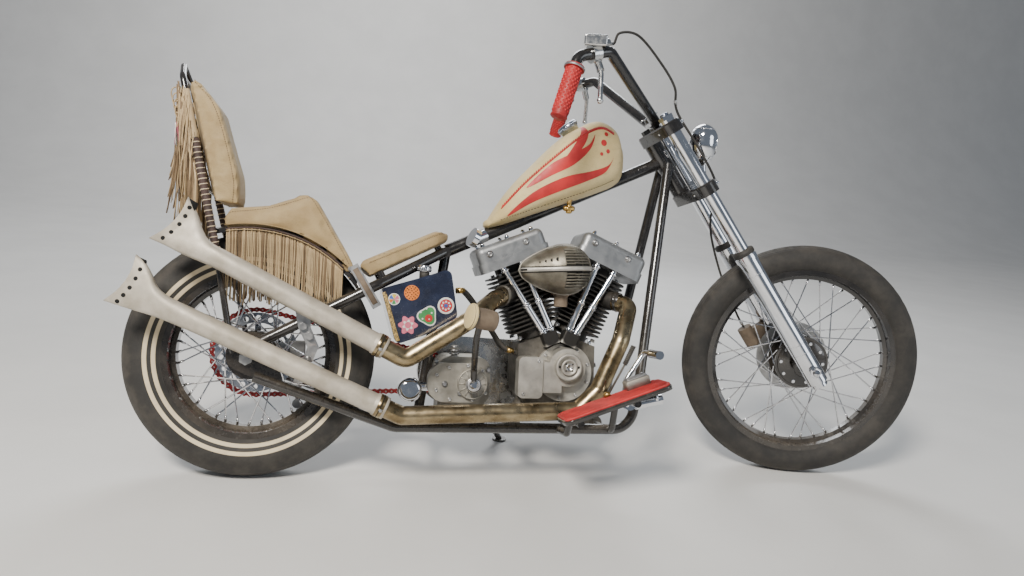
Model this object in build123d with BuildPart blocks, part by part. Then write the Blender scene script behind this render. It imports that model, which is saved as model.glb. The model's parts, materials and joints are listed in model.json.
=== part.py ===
"""Chopper motorcycle, parked on its side stand with its front wheel turned to the right.

Every piece is drawn upright and straight ahead, in millimetres: +X forward, +Y to the rider's
left, +Z up, with the origin on the floor under the rear axle. The last lines turn the front
end about its stem, lean the whole machine onto its stand and set it on the middle of its
footprint.
"""
from build123d import *
from math import asin, atan2, cos, degrees, hypot, radians, sin
import os

# Main sizes
WHEELBASE = 1596.0
RAKE = 35.0
STEM_OFFSET = 51.0
PARK_STEER = -17.1
PARK_LEAN = 11.0
GAP = 0.3

# Wheels: tyre radius and width, rim flange radius and width, hub flange radius and its y
REAR_TYRE_R = 317.0
REAR_TYRE_W = 130.0
REAR_RIM_R = 216.0
REAR_RIM_W = 96.0
REAR_FLANGE_R = 62.0
REAR_FLANGE_Y = 34.0
REAR_HUB_HALF = 70.0
FRONT_TYRE_R = 351.5
FRONT_TYRE_W = 90.0
FRONT_RIM_R = 280.0
FRONT_RIM_W = 62.0
FRONT_FLANGE_R = 79.0
FRONT_FLANGE_Y = 30.0
FRONT_HUB_HALF = 78.0
RIM_T = 4.0
FLANGE_H = 11.0
RIM_DEPTH = 14.0
SPOKES = 40
SPOKE_R = 2.0
SPOKE_LEAN = 60.0
SPOKE_STEP = 2.4
FLANGE_T = 5.0
HUB_BARREL_R = 38.0
AXLE_R = 10.0
SPACER_R = 20.0
DISC_R = 108.0
DISC_Y = 60.0

# Frame
TUBE_R = 14.0
BACKBONE_R = 18.0
HEAD_R = 26.0
RAIL_Y = 120.0
RAIL_Z = 150.0
RAIL_FRONT_X = 1018.0
RAIL_REAR_X = 372.0
SADDLE = (500.0, 620.0)
SEAT_UNDER = ((290.0, 536.0), (504.0, 648.0))
POST_FOOT_X = 440.0
PLATE_T = 10.0

# Fork, with distances up the legs from the axle
LEG_Y = 116.0
FORK_TUBE_R = 20.0
SLIDER_R = 29.0
SLIDER_TOP = 392.0
SLIDER_FOOT = 55.0
LOWER_TREE = 612.0
UPPER_TREE = 812.0
TREE_T = 34.0
FORK_TOP = 838.0
BAR_R = 15.0
GRIP_R = 20.5

# Engine, with distances up a cylinder's axis from the crank
CRANK_X = 815.0
CRANK_Z = 280.0
BANK = 22.5
CYL_BASE = 128.0
HEAD_BASE = 248.0
ROCKER_BASE = 340.0
ROCKER_TOP = 412.0
BORE_R = 50.0
FIN_R = 72.0
FIN_PITCH = 12.4
FIN_T = 4.0
CASE_HALF = 62.0
PUSHROD_Y = -81.0
BLOCK_TOP = 132.0
INTAKE_Z = 530.0
AIR_CLEANER_Y = -100.0

# Drive
SPROCKET_Y = 86.0
SPROCKET_R = 117.0
CHAIN_W = 16.0
CHAIN_H = 16.0
DRIVE_X = 520.0
DRIVE_Z = 270.0
DRIVE_R = 46.0

# Exhausts
PIPE_R = 24.0
SILENCER_R = 26.0
EXHAUST_Y = -170.0

# Fender and seat, round the rear axle
FENDER_R = 338.0
FENDER_T = 2.5
FENDER_HALF = 92.0
SKIRT = 18.0
FENDER_FRONT = 34.0
FENDER_ARC = 74.0
SEAT_HALF = 97.0
SEAT_EDGE_R = 318.0
SISSY_R = 8.0
SLEEVE_T = 2.8

s, c = sin(radians(RAKE)), cos(radians(RAKE))
REAR_AXLE = Vector(0, 0, REAR_TYRE_R)
FRONT_AXLE = Vector(WHEELBASE, 0, FRONT_TYRE_R)
STEM_FOOT = FRONT_AXLE - Vector(c, 0, s) * STEM_OFFSET
STEM_DIR = Vector(-s, 0, c)
STEM_AXIS = Axis(STEM_FOOT, STEM_DIR)
SIDES = (-1, 1)


def leg_plane(t, y=0.0, ahead=0.0):
    """Plane across the fork legs, t up the legs from the axle, its z along the legs."""
    origin = FRONT_AXLE + STEM_DIR * t + Vector(c, 0, s) * ahead + Vector(0, y, 0)
    return Plane(origin, x_dir=(c, 0, s), z_dir=STEM_DIR)


def stem_plane(t):
    """Plane across the steering stem, t up it."""
    return leg_plane(t, ahead=-STEM_OFFSET)


def bank_plane(tilt, d):
    """Plane across a cylinder that tilts forward by tilt, d up its axis from the crank."""
    a = radians(tilt)
    return Plane((CRANK_X + d * sin(a), 0, CRANK_Z + d * cos(a)), x_dir=(cos(a), 0, -sin(a)),
                 z_dir=(sin(a), 0, cos(a)))


def upright(y=0.0):
    """Side-view plane at y: its x is forward and its y is up, facing the right side."""
    return Plane((0, y, 0), x_dir=(1, 0, 0), z_dir=(0, -1, 0))


def tube(points, bend, radius):
    """Round bar through points with rounded corners."""
    with BuildPart() as run:
        with BuildLine():
            if len(points) == 2:
                path = Line(*points)
            else:
                path = FilletPolyline(*points, radius=bend)
        with BuildSketch(Plane(path @ 0, z_dir=path % 0)):
            Circle(radius)
        sweep(path=path)
    return run.part


def rod(a, b, radius, sides=0):
    """Straight bar between two points, round or with a number of flats."""
    a, b = Vector(*a), Vector(*b)
    with BuildPart() as bar:
        with BuildSketch(Plane(a, z_dir=b - a)):
            if sides:
                RegularPolygon(radius, sides)
            else:
                Circle(radius)
        extrude(amount=(b - a).length)
    return bar.part


def block(lo, hi, edge=0.0):
    """Box between two corners, its edges rounded."""
    with BuildPart() as solid:
        with Locations(tuple((p + q) / 2 for p, q in zip(lo, hi))):
            Box(*[q - p for p, q in zip(lo, hi)])
        if edge:
            fillet(solid.edges(), edge)
    return solid.part


def lean(shape, group):
    """Put a piece where it is on the machine, turn the front end and lean it all to the left."""
    if group == "rear wheel":
        shape = shape.moved(Pos(*REAR_AXLE))
    if group == "front wheel":
        shape = shape.moved(Pos(*FRONT_AXLE))
    if group in ("front wheel", "front end"):
        shape = shape.rotate(STEM_AXIS, PARK_STEER)
    return shape.rotate(Axis.X, -PARK_LEAN)


# Wheels, drawn round the origin
def wheel(tyre_r, tyre_w, rim_r, rim_w):
    """Tyre and rim turned about the y axis. rim_r is the radius of the rim flange's edge."""
    half = tyre_w / 2
    seat_r = rim_r - FLANGE_H
    shoulder = (half * 0.72, tyre_r - half * 0.22)
    bulge = (half, (rim_r + tyre_r) / 2)
    bead = (rim_w / 2, rim_r + GAP)
    seat = rim_w / 2 - RIM_T - GAP
    with BuildPart() as tyre:
        with BuildSketch(Plane.YZ):
            with BuildLine():
                Polyline((-bead[0], bead[1]), (-seat, bead[1]), (-seat, seat_r + GAP),
                         (seat, seat_r + GAP), (seat, bead[1]), bead)
                ThreePointArc(bead, bulge, shoulder)
                ThreePointArc(shoulder, (0, tyre_r), (-shoulder[0], shoulder[1]))
                ThreePointArc((-shoulder[0], shoulder[1]), (-bulge[0], bulge[1]), (-bead[0], bead[1]))
            make_face()
        revolve(axis=Axis.Y)
    well = seat_r - RIM_DEPTH
    outer = [(rim_w / 2, rim_r), (rim_w / 2 - RIM_T, rim_r), (rim_w / 2 - RIM_T, seat_r),
             (rim_w / 4, seat_r - 3), (rim_w / 6, well)]
    inner = [(rim_w / 6, well - RIM_T), (rim_w / 4, seat_r - 8), (rim_w / 2, seat_r - 4)]
    with BuildPart() as rim:
        with BuildSketch(Plane.YZ):
            with BuildLine():
                Polyline(*outer, *[(-y, r) for y, r in reversed(outer)],
                         *[(-y, r) for y, r in reversed(inner)], *inner, close=True)
            make_face()
        revolve(axis=Axis.Y)
    return tyre.part, rim.part


def hub(flange_r, flange_y, half):
    """Hub barrel with a spoke flange near each end."""
    with BuildPart() as body:
        with BuildSketch(Plane.YZ):
            with BuildLine():
                Polyline((-half, AXLE_R + GAP), (-half, 24), (-flange_y - FLANGE_T, 28),
                         (-flange_y - FLANGE_T, flange_r), (-flange_y, flange_r),
                         (-flange_y, HUB_BARREL_R), (flange_y, HUB_BARREL_R), (flange_y, flange_r),
                         (flange_y + FLANGE_T, flange_r), (flange_y + FLANGE_T, 28), (half, 24),
                         (half, AXLE_R + GAP), close=True)
            make_face()
        revolve(axis=Axis.Y)
    return body.part


def spokes(flange_r, flange_y, rim_r, rim_w):
    """Crossed spokes from the flanges' edges to the rim's well, half of them leaning each way."""
    root = flange_r + SPOKE_R + 2 * GAP
    reach = rim_r - FLANGE_H - RIM_DEPTH - RIM_T - 4 * GAP
    with BuildPart() as lace:
        for i in range(SPOKES):
            side = 1 if i % 2 else -1
            way = 1 if (i // 2) % 2 else -1
            end = radians(360.0 / SPOKES * i)
            start = end + way * radians(SPOKE_LEAN)
            y = flange_y + FLANGE_T / 2
            a = (root * cos(start), side * (y + way * SPOKE_STEP), root * sin(start))
            b = (reach * cos(end), side * (rim_w / 10 + way * SPOKE_STEP), reach * sin(end))
            add(rod(a, b, SPOKE_R, sides=6))
    return lace.part


rear_tyre, rear_rim = wheel(REAR_TYRE_R, REAR_TYRE_W, REAR_RIM_R, REAR_RIM_W)
front_tyre, front_rim = wheel(FRONT_TYRE_R, FRONT_TYRE_W, FRONT_RIM_R, FRONT_RIM_W)
rear_hub = hub(REAR_FLANGE_R, REAR_FLANGE_Y, REAR_HUB_HALF)
front_hub = hub(FRONT_FLANGE_R, FRONT_FLANGE_Y, FRONT_HUB_HALF)
rear_spokes = spokes(REAR_FLANGE_R, REAR_FLANGE_Y, REAR_RIM_R, REAR_RIM_W)
front_spokes = spokes(FRONT_FLANGE_R, FRONT_FLANGE_Y, FRONT_RIM_R, FRONT_RIM_W)

with BuildPart() as front_disc:
    with BuildSketch(Plane((0, DISC_Y, 0), z_dir=(0, 1, 0))):
        Circle(DISC_R)
        Circle(26 + GAP, mode=Mode.SUBTRACT)
        with PolarLocations(62, 8):
            Circle(13, mode=Mode.SUBTRACT)
    extrude(amount=5)

# Rear sprocket: a perforated ring on arms, which the brake also grips
CHAIN_INNER_R = SPROCKET_R - CHAIN_H / 2 - GAP
RING_IN_R = 81.0
with BuildPart() as sprocket:
    with BuildSketch(Plane((0, SPROCKET_Y - 4, 0), z_dir=(0, 1, 0))):
        Circle(CHAIN_INNER_R)
        Circle(RING_IN_R, mode=Mode.SUBTRACT)
        with PolarLocations((CHAIN_INNER_R + RING_IN_R) / 2, 18):
            Circle(7, mode=Mode.SUBTRACT)
        Circle(40)
        with PolarLocations(60, 5):
            Rectangle(50, 16)
        Circle(26, mode=Mode.SUBTRACT)
    extrude(amount=8)
    with BuildSketch(Plane((0, REAR_HUB_HALF + GAP, 0), z_dir=(0, 1, 0))):
        Circle(40)
        Circle(26, mode=Mode.SUBTRACT)
    extrude(amount=SPROCKET_Y - 4 - REAR_HUB_HALF - GAP)

PLATE_OUT = RAIL_Y + PLATE_T / 2
with BuildPart() as rear_axle:
    add(rod((0, -PLATE_OUT - 16, 0), (0, PLATE_OUT + 16, 0), AXLE_R))
    for side in SIDES:
        add(rod((0, side * (REAR_HUB_HALF + 2), 0), (0, side * (RAIL_Y - PLATE_T / 2 - GAP), 0), SPACER_R))
        add(rod((0, side * (PLATE_OUT + GAP), 0), (0, side * (PLATE_OUT + 12), 0), 17, sides=6))

AXLE_END = LEG_Y + SLIDER_R
with BuildPart() as front_axle:
    add(rod((0, -AXLE_END - 8, 0), (0, AXLE_END + 8, 0), AXLE_R))
    for side in SIDES:
        add(rod((0, side * (AXLE_END + GAP), 0), (0, side * (AXLE_END + 10), 0), 16, sides=6))
        add(rod((0, side * (FRONT_HUB_HALF + 2), 0), (0, side * (LEG_Y - SLIDER_R - GAP), 0), SPACER_R - 3))

# Floor under the leaning machine, from the two tyres
leaned_low = [lean(tyre, group).bounding_box().min.Z
              for tyre, group in ((rear_tyre, "rear wheel"), (front_tyre, "front wheel"))]
pitch = degrees(asin((leaned_low[1] - leaned_low[0]) / WHEELBASE))
FLOOR_UP = Vector(0, -sin(radians(PARK_LEAN)), cos(radians(PARK_LEAN)))


def floor_z(x, y):
    """Height of the floor under a point of the upright machine once it leans."""
    low = leaned_low[0] + (leaned_low[1] - leaned_low[0]) * x / WHEELBASE
    return (low + y * sin(radians(PARK_LEAN))) / cos(radians(PARK_LEAN))


# Drive chain
with BuildPart() as chain:
    with BuildSketch(Plane((0, SPROCKET_Y + CHAIN_W / 2, REAR_TYRE_R), x_dir=(1, 0, 0), z_dir=(0, -1, 0))):
        with BuildSketch(mode=Mode.PRIVATE) as wheels:
            Circle(SPROCKET_R)
            with Locations((DRIVE_X, DRIVE_Z - REAR_TYRE_R)):
                Circle(DRIVE_R)
        belt = make_hull(wheels.sketch.edges(), mode=Mode.PRIVATE)
        add(offset(belt, CHAIN_H / 2, mode=Mode.PRIVATE))
        add(offset(belt, -CHAIN_H / 2, mode=Mode.PRIVATE), mode=Mode.SUBTRACT)
    extrude(amount=CHAIN_W)

# Floorboard plane: its x runs forward up the board, its z is up out of it
BOARD_REAR = (765.0, 207.0)
BOARD_RISE = 19.9
BOARD_Y = 300.0
BOARD_W = 100.0
BOARD_L = 290.0
BOARD_T = 16.0
OUTRIGGER_R = 9.0


def board_plane(side):
    a = radians(BOARD_RISE)
    return Plane((BOARD_REAR[0], side * BOARD_Y, BOARD_REAR[1]), x_dir=(cos(a), 0, sin(a)),
                 z_dir=(-sin(a), 0, cos(a)))


def outrigger_seat(along):
    """Centre of a bar across the underside of a board, at a distance up the board."""
    point = board_plane(1).from_local_coords((along, 0, -BOARD_T - OUTRIGGER_R - GAP))
    return point.X, point.Z


# Frame
BACKBONE_FRONT = stem_plane(735).origin
BACKBONE_REAR = Vector(SADDLE[0], 0, SADDLE[1])
POST_FOOT = Vector(POST_FOOT_X, 0, RAIL_Z)
HEAD_TOP = stem_plane(UPPER_TREE - TREE_T / 2 - GAP).origin
HEAD_FOOT = stem_plane(LOWER_TREE + TREE_T / 2 + GAP).origin
OUTRIGGERS = (38.0, 192.0)
STAND_PIVOT = Vector(660, RAIL_Y + 36, RAIL_Z - 12)
STAND_AXIS = Vector(0.135, 0.546, 0.797)

with BuildPart() as frame:
    for side in SIDES:
        y = side * RAIL_Y
        add(tube([(1139, 0.22 * y, 912), (1041, y, 300), (RAIL_FRONT_X, y, RAIL_Z),
                  (RAIL_REAR_X, y, RAIL_Z), (20, y, 272)], 60, TUBE_R))
        add(tube([(SADDLE[0] - 10, 0.3 * y, SADDLE[1] - 6), (300, 0.95 * y, 508), (20, y, 352)], 150, TUBE_R))
        with BuildSketch(upright(y + PLATE_T / 2)):
            with BuildLine():
                Polyline((88, 272), (62, 350), (20, 372), (-30, 350))
                ThreePointArc((-30, 350), (-48, 318), (-30, 290))
                Polyline((-30, 290), (10, 272), (88, 256), (88, 272))
            make_face()
        extrude(amount=PLATE_T)
        for along, out in zip(OUTRIGGERS, (215, 150)):
            x, z = outrigger_seat(along)
            add(tube([(x, y, RAIL_Z), (x, side * out, RAIL_Z + 3), (x, side * (out + 30), z),
                      (x, side * (BOARD_Y + 34), z)], 14, OUTRIGGER_R))
        add(rod((275, 0.94 * y, 493), (262, side * 104, 515), 7))
        add(rod((262, side * 106, 515), (262, side * (FENDER_HALF + GAP), 515), 8))
    add(rod(HEAD_FOOT, HEAD_TOP, HEAD_R))
    add(rod(BACKBONE_FRONT, BACKBONE_REAR, BACKBONE_R))
    add(rod(BACKBONE_REAR, POST_FOOT, TUBE_R))
    for x in (POST_FOOT_X, 600, 700, 940):
        add(rod((x, -RAIL_Y, RAIL_Z), (x, RAIL_Y, RAIL_Z), 12))
    add(rod((SADDLE[0] - 6, -46, SADDLE[1] - 6), (SADDLE[0] - 6, 46, SADDLE[1] - 6), TUBE_R))
    add(rod((486, 20 - GAP, 520), (486, GAP - 20, 520), 9))
    for x, y, z in ((480, 0, 620), (330, -98, 525), (330, 98, 525)):
        under, foot = Vector(*SEAT_UNDER[0]), Vector(x, z)
        up = Vector(-(SEAT_UNDER[1][1] - under.Y), SEAT_UNDER[1][0] - under.X).normalized()
        top = foot + up * ((under - foot).dot(up) - GAP)
        add(rod((x, y, z), (top.X, y, top.Y), 10))
    pin_foot = STAND_PIVOT - STAND_AXIS * 30
    add(rod((STAND_PIVOT.X, RAIL_Y, RAIL_Z - 4), STAND_PIVOT - STAND_AXIS * 24, 9))
    add(rod(pin_foot, STAND_PIVOT - STAND_AXIS * 10, 15))
    add(rod(STAND_PIVOT - STAND_AXIS * (10 + GAP), STAND_PIVOT + STAND_AXIS * 14, 16 + GAP),
        mode=Mode.SUBTRACT)
    add(rod(pin_foot, STAND_PIVOT + STAND_AXIS * 13, 7))
    add(rod(HEAD_FOOT, HEAD_TOP, HEAD_R - 8), mode=Mode.SUBTRACT)
    for side in SIDES:
        add(rod((0, side * (RAIL_Y - 20), REAR_TYRE_R), (0, side * (RAIL_Y + 20), REAR_TYRE_R), AXLE_R + GAP),
            mode=Mode.SUBTRACT)

# Side stand: an eye on the frame's pin, a bent leg and a foot flat on the floor
FOOT = (728.0, 262.0)
foot_low = Vector(FOOT[0], FOOT[1], floor_z(*FOOT))
with BuildPart() as side_stand:
    add(rod(STAND_PIVOT - STAND_AXIS * 10, STAND_PIVOT + STAND_AXIS * 10, 16))
    add(tube([STAND_PIVOT, (668, 176, 128), (712, 244, 74), foot_low + FLOOR_UP * 5], 20, 9))
    add(rod(foot_low, foot_low + FLOOR_UP * 6, 22))
    add(rod(STAND_PIVOT - STAND_AXIS * 12, STAND_PIVOT + STAND_AXIS * 14, 7 + GAP), mode=Mode.SUBTRACT)

# Steering
def tree(t):
    """Plate that clamps both fork tubes, t up the legs."""
    with BuildPart() as plate:
        with BuildSketch(leg_plane(t - TREE_T / 2)):
            with BuildSketch(mode=Mode.PRIVATE) as plan:
                with Locations((0, LEG_Y), (0, -LEG_Y)):
                    Circle(FORK_TUBE_R + 11)
                with Locations((-STEM_OFFSET, 0)):
                    Circle(30)
            add(make_hull(plan.sketch.edges(), mode=Mode.PRIVATE))
            with Locations((0, LEG_Y), (0, -LEG_Y)):
                Circle(FORK_TUBE_R + GAP, mode=Mode.SUBTRACT)
        extrude(amount=TREE_T)
        chamfer(plate.faces().sort_by(Axis((0, 0, 0), STEM_DIR))[-1].outer_wire().edges(), 4)
    return plate.part


CLAMP_Y = 34.0
BAR_AHEAD = -21.0
TREE_TOP = UPPER_TREE + TREE_T / 2
with BuildPart() as lower_tree:
    add(tree(LOWER_TREE))
    add(rod(stem_plane(LOWER_TREE).origin, stem_plane(UPPER_TREE - TREE_T / 2 - GAP).origin,
            HEAD_R - 8 - GAP))

with BuildPart() as upper_tree:
    add(tree(UPPER_TREE))
    add(rod(stem_plane(TREE_TOP - 2).origin, stem_plane(TREE_TOP + 12).origin, 13, sides=6))

with BuildPart() as fork_tubes:
    for y in (-LEG_Y, LEG_Y):
        add(rod(leg_plane(SLIDER_TOP + GAP, y).origin, leg_plane(FORK_TOP, y).origin, FORK_TUBE_R))
        add(rod(leg_plane(FORK_TOP - 1, y).origin, leg_plane(FORK_TOP + 10, y).origin, 21, sides=6))

with BuildPart() as fork_sliders:
    for y in (-LEG_Y, LEG_Y):
        add(rod(leg_plane(-SLIDER_FOOT + 14, y).origin, leg_plane(SLIDER_TOP, y).origin, SLIDER_R))
        add(rod(leg_plane(-SLIDER_FOOT, y).origin, leg_plane(-SLIDER_FOOT + 16, y).origin, SLIDER_R - 6))
        add(rod(leg_plane(SLIDER_TOP - 16, y).origin, leg_plane(SLIDER_TOP - 2, y).origin, SLIDER_R + 2))
        add(rod(leg_plane(0, y - 40).origin, leg_plane(0, y + 40).origin, AXLE_R + GAP), mode=Mode.SUBTRACT)


def bar_points(side):
    """The bar's bends on one side, from the first outside the clamps to its end."""
    first = leg_plane(TREE_TOP + GAP + BAR_R, side * (CLAMP_Y + 28), BAR_AHEAD).origin
    return [first, Vector(930, side * 300, 1183), Vector(850, side * 347, 1160),
            Vector(812, side * 401, 1012)]


with BuildPart() as handlebar:
    add(tube(bar_points(-1)[::-1] + bar_points(1), 32, BAR_R))
    for side in SIDES:
        foot, crown = [leg_plane(TREE_TOP + t, side * CLAMP_Y, BAR_AHEAD).origin
                       for t in (GAP, GAP + 2 * BAR_R + 5)]
        add(rod(foot, crown, BAR_R - 2))

with BuildPart() as grips:
    for side in SIDES:
        knee, tip = bar_points(side)[2:]
        inner, outer = tip + (knee - tip) * 0.8, tip - (knee - tip) * 0.04
        add(rod(inner, outer, GRIP_R))
        add(rod(inner + (knee - tip) * 0.02, inner - (knee - tip) * 0.03, GRIP_R + 5))
        add(rod(inner + (knee - tip) * 0.1, tip + (tip - knee).normalized() * GAP, BAR_R + GAP),
            mode=Mode.SUBTRACT)

# Hand controls: a clamp on the bar with a lever, and on the right the brake's cylinder
with BuildPart() as hand_levers:
    for side in SIDES:
        bend, knee = bar_points(side)[1:3]
        middle_bar = bend + (knee - bend) * 0.5
        way = (knee - bend).normalized()
        add(rod(middle_bar - way * 12, middle_bar + way * 12, BAR_R + 8))
        pivot = middle_bar + Vector(6, side * -4, -14)
        add(tube([pivot, pivot + Vector(14, side * 20, -34), pivot + Vector(14, side * 50, -104)], 40, 6.5))
        add(rod(pivot + Vector(0, side * -4, 6), pivot + Vector(12, side * 16, -28), 10))
        with Locations(pivot + Vector(14, side * 50, -104)):
            Sphere(8.5)
        if side < 0:
            add(block(tuple(middle_bar + Vector(-28, -26, 16)), tuple(middle_bar + Vector(30, 10, 44)), 5))
            add(rod(middle_bar + Vector(0, 0, 30), middle_bar + Vector(34, 44, 36), 11))
        add(rod(middle_bar - way * 40, middle_bar + way * 40, BAR_R + GAP), mode=Mode.SUBTRACT)

# Headlight: an egg-shaped shell, small end down, with a flat lens in front, on a stub from the tree
LIGHT = Vector(1247, 0, 985)
with BuildPart() as headlight:
    with BuildSketch(Plane(LIGHT, x_dir=(1, 0, 0), z_dir=(0, -1, 0))):
        with BuildLine():
            ThreePointArc((0, 56), (29, 42), (40, 10))
            ThreePointArc((40, 10), (29, -42), (0, -72))
            Line((0, -72), (0, 56))
        make_face()
    revolve(axis=Axis(LIGHT, (0, 0, 1)))
    split(bisect_by=Plane(LIGHT + Vector(35, 0, 0), z_dir=(-1, 0, 0)))
    add(rod(leg_plane(LOWER_TREE, 0, 18).origin, leg_plane(676, 0, 50).origin, 9))
    with BuildSketch(leg_plane(LOWER_TREE - TREE_T / 2)):
        Rectangle(200, 200)
    extrude(amount=TREE_T + GAP, mode=Mode.SUBTRACT)

# Brake hose and throttle cable, from the right grip down past the fork trees
HOSE_R = 3.5
cylinder_end = bar_points(-1)[1] + (bar_points(-1)[2] - bar_points(-1)[1]) * 0.5 + Vector(34, 44, 36)
hose_way = Vector(34, 44, 6).normalized()
with BuildPart() as cables:
    add(tube([cylinder_end + hose_way * GAP, cylinder_end + hose_way * 30, (958, -226, 1243),
              (1012, -176, 1248), (1080, -120, 1196), (1134, -90, 1130),
              leg_plane(840, -62, 46).origin, leg_plane(720, -60, 48).origin, leg_plane(612, -40, 46).origin,
              leg_plane(560, 30, 30).origin, leg_plane(470, 66, -22).origin, leg_plane(330, 70, -62).origin,
              leg_plane(200, 80, -78).origin, leg_plane(148, 82, -80).origin], 12, HOSE_R))

# Front brake caliper on the left slider, gripping the disc
with BuildPart() as front_caliper:
    add(rod(leg_plane(80, 84, -80).origin, leg_plane(146, 84, -80).origin, 22))
    with BuildSketch(leg_plane(88)):
        with Locations((-58, 90)):
            Rectangle(70, 30)
    extrude(amount=44)
    add(rod(leg_plane(60, LEG_Y).origin, leg_plane(170, LEG_Y).origin, SLIDER_R + GAP), mode=Mode.SUBTRACT)
    with BuildSketch(Plane(FRONT_AXLE + Vector(0, DISC_Y - 2, 0), z_dir=(0, 1, 0))):
        Circle(DISC_R + 4)
    extrude(amount=9, mode=Mode.SUBTRACT)
    with BuildSketch(Plane(FRONT_AXLE + Vector(0, 66, 0), z_dir=(0, 1, 0))):
        Circle(82)
    extrude(amount=60, mode=Mode.SUBTRACT)

# Engine
BLOCKS = ((-BANK, 18.0, 44.0), (BANK, -16.0, 48.0))  # bank tilt, block's centre and width across it
PUSHRODS = ((-BANK, 7.0, -39.0), (-BANK, 29.0, 15.0), (BANK, -5.0, 24.0), (BANK, -27.0, -30.0))  # tilt, foot, top
PORT_R = 26.0
MANIFOLD_HALF = 16.0
REAR_PORT = Vector(654, -74, 502)
FRONT_PORT = Vector(976, -74, 500)


def axis_at(tilt, z):
    """Point of a cylinder's axis at a height."""
    return bank_plane(tilt, (z - CRANK_Z) / cos(radians(tilt))).origin


def cylinder(tilt, port):
    """Finned barrel and head, with the intake port towards the middle and the exhaust port outside."""
    side = 1 if tilt > 0 else -1
    with BuildPart() as barrel:
        with BuildSketch(bank_plane(tilt, CYL_BASE)):
            Circle(BORE_R)
        extrude(amount=ROCKER_BASE - CYL_BASE)
        count = int((ROCKER_BASE - CYL_BASE - 30) / FIN_PITCH)
        for i in range(count):
            d = CYL_BASE + 26 + i * FIN_PITCH
            wide = FIN_R + (5 if d > HEAD_BASE else 0)
            with BuildSketch(bank_plane(tilt, d)):
                RectangleRounded(2 * wide, 2 * wide - 16, 20)
            extrude(amount=FIN_T)
        intake = axis_at(tilt, INTAKE_Z)
        add(rod(intake, (CRANK_X + side * (MANIFOLD_HALF + GAP), 0, INTAKE_Z), 24))
        add(rod(axis_at(tilt, INTAKE_Z - 8), port, PORT_R))
        with BuildSketch(Plane.XY.offset(CRANK_Z)):
            with Locations((CRANK_X - side * 200, 0)):
                Rectangle(400 + 4 * GAP, 400)
        extrude(amount=400, mode=Mode.SUBTRACT)
    return barrel.part


with BuildPart() as cylinders:
    add(cylinder(-BANK, REAR_PORT))
    add(cylinder(BANK, FRONT_PORT))
    add(rod((CRANK_X, 0, INTAKE_Z), (CRANK_X + MANIFOLD_HALF + GAP, 0, INTAKE_Z), 30), mode=Mode.SUBTRACT)
    add(rod((CRANK_X, 0, INTAKE_Z), (CRANK_X - MANIFOLD_HALF - GAP, 0, INTAKE_Z), 30), mode=Mode.SUBTRACT)

ROCKER_Y = (-97.0, 55.0)
with BuildPart() as rocker_boxes:
    for tilt in (-BANK, BANK):
        base = bank_plane(tilt, ROCKER_BASE + GAP)
        with BuildPart(mode=Mode.PRIVATE) as box:
            with BuildSketch(base):
                with Locations((0, sum(ROCKER_Y) / 2)):
                    RectangleRounded(206, ROCKER_Y[1] - ROCKER_Y[0], 22)
            extrude(amount=26)
            with BuildSketch(base.offset(26)):
                with Locations((0, sum(ROCKER_Y) / 2)):
                    RectangleRounded(198, ROCKER_Y[1] - ROCKER_Y[0] - 8, 20)
            extrude(amount=ROCKER_TOP - ROCKER_BASE - 26)
            fillet(box.faces().sort_by(Axis((0, 0, 0), base.z_dir))[-1].edges(), 18)
        add(box.part)

with BuildPart() as crankcase:
    with BuildSketch(upright(CASE_HALF)):
        with Locations((CRANK_X, CRANK_Z)):
            Circle(112)
            Polygon((-112, 0), (-110, 92), (-20, 124), (20, 124), (110, 92), (112, 0), align=None)
    extrude(amount=2 * CASE_HALF)
    for tilt in (-BANK, BANK):
        with BuildSketch(bank_plane(tilt, CYL_BASE - GAP)):
            Rectangle(400, 400)
        extrude(amount=100, mode=Mode.SUBTRACT)
    for x in (700, 940):
        add(rod((x, -34, RAIL_Z), (x, 34, RAIL_Z), 26))
        add(rod((x, 0, RAIL_Z), (CRANK_X + (x - CRANK_X) * 0.6, 0, CRANK_Z - 60), 22))
    add(rod((CRANK_X, CASE_HALF - 4, CRANK_Z), (CRANK_X, 100 - GAP, CRANK_Z), 60))
    for y in (-48, -24):
        add(rod((740, y, 330), (700, y, 348), 8))
    for x in (700, 940):
        add(rod((x, -60, RAIL_Z), (x, 60, RAIL_Z), 12 + GAP), mode=Mode.SUBTRACT)
        with BuildSketch(Plane.XY.offset(RAIL_Z - 40)):
            with Locations((x, 0)):
                Rectangle(80, 120)
        extrude(amount=40, mode=Mode.SUBTRACT)

with BuildPart() as timing_cover:
    with BuildSketch(upright(-CASE_HALF - GAP)):
        with Locations((CRANK_X + 19, CRANK_Z + 18)):
            Circle(80)
    extrude(amount=14)
    with BuildSketch(upright(-CASE_HALF - GAP)):
        with Locations((734, 284)):
            RectangleRounded(68, 112, 14)
    extrude(amount=42)
    with BuildSketch(upright(-CASE_HALF - 14)):
        with Locations((CRANK_X + 20, CRANK_Z + 34)):
            Circle(56)
        with Locations((CRANK_X - 20, CRANK_Z + 6)):
            Rectangle(60, 92)
    extrude(amount=32, taper=8)
    with BuildSketch(upright(-CASE_HALF - 46)):
        with Locations((CRANK_X + 20, CRANK_Z + 36)):
            Circle(38)
    extrude(amount=12, taper=12)
    for tilt, centre, width in BLOCKS:
        with BuildSketch(bank_plane(tilt, 96)):
            with Locations((centre, PUSHROD_Y)):
                RectangleRounded(width, 37, 6)
        extrude(amount=BLOCK_TOP - 96)

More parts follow.
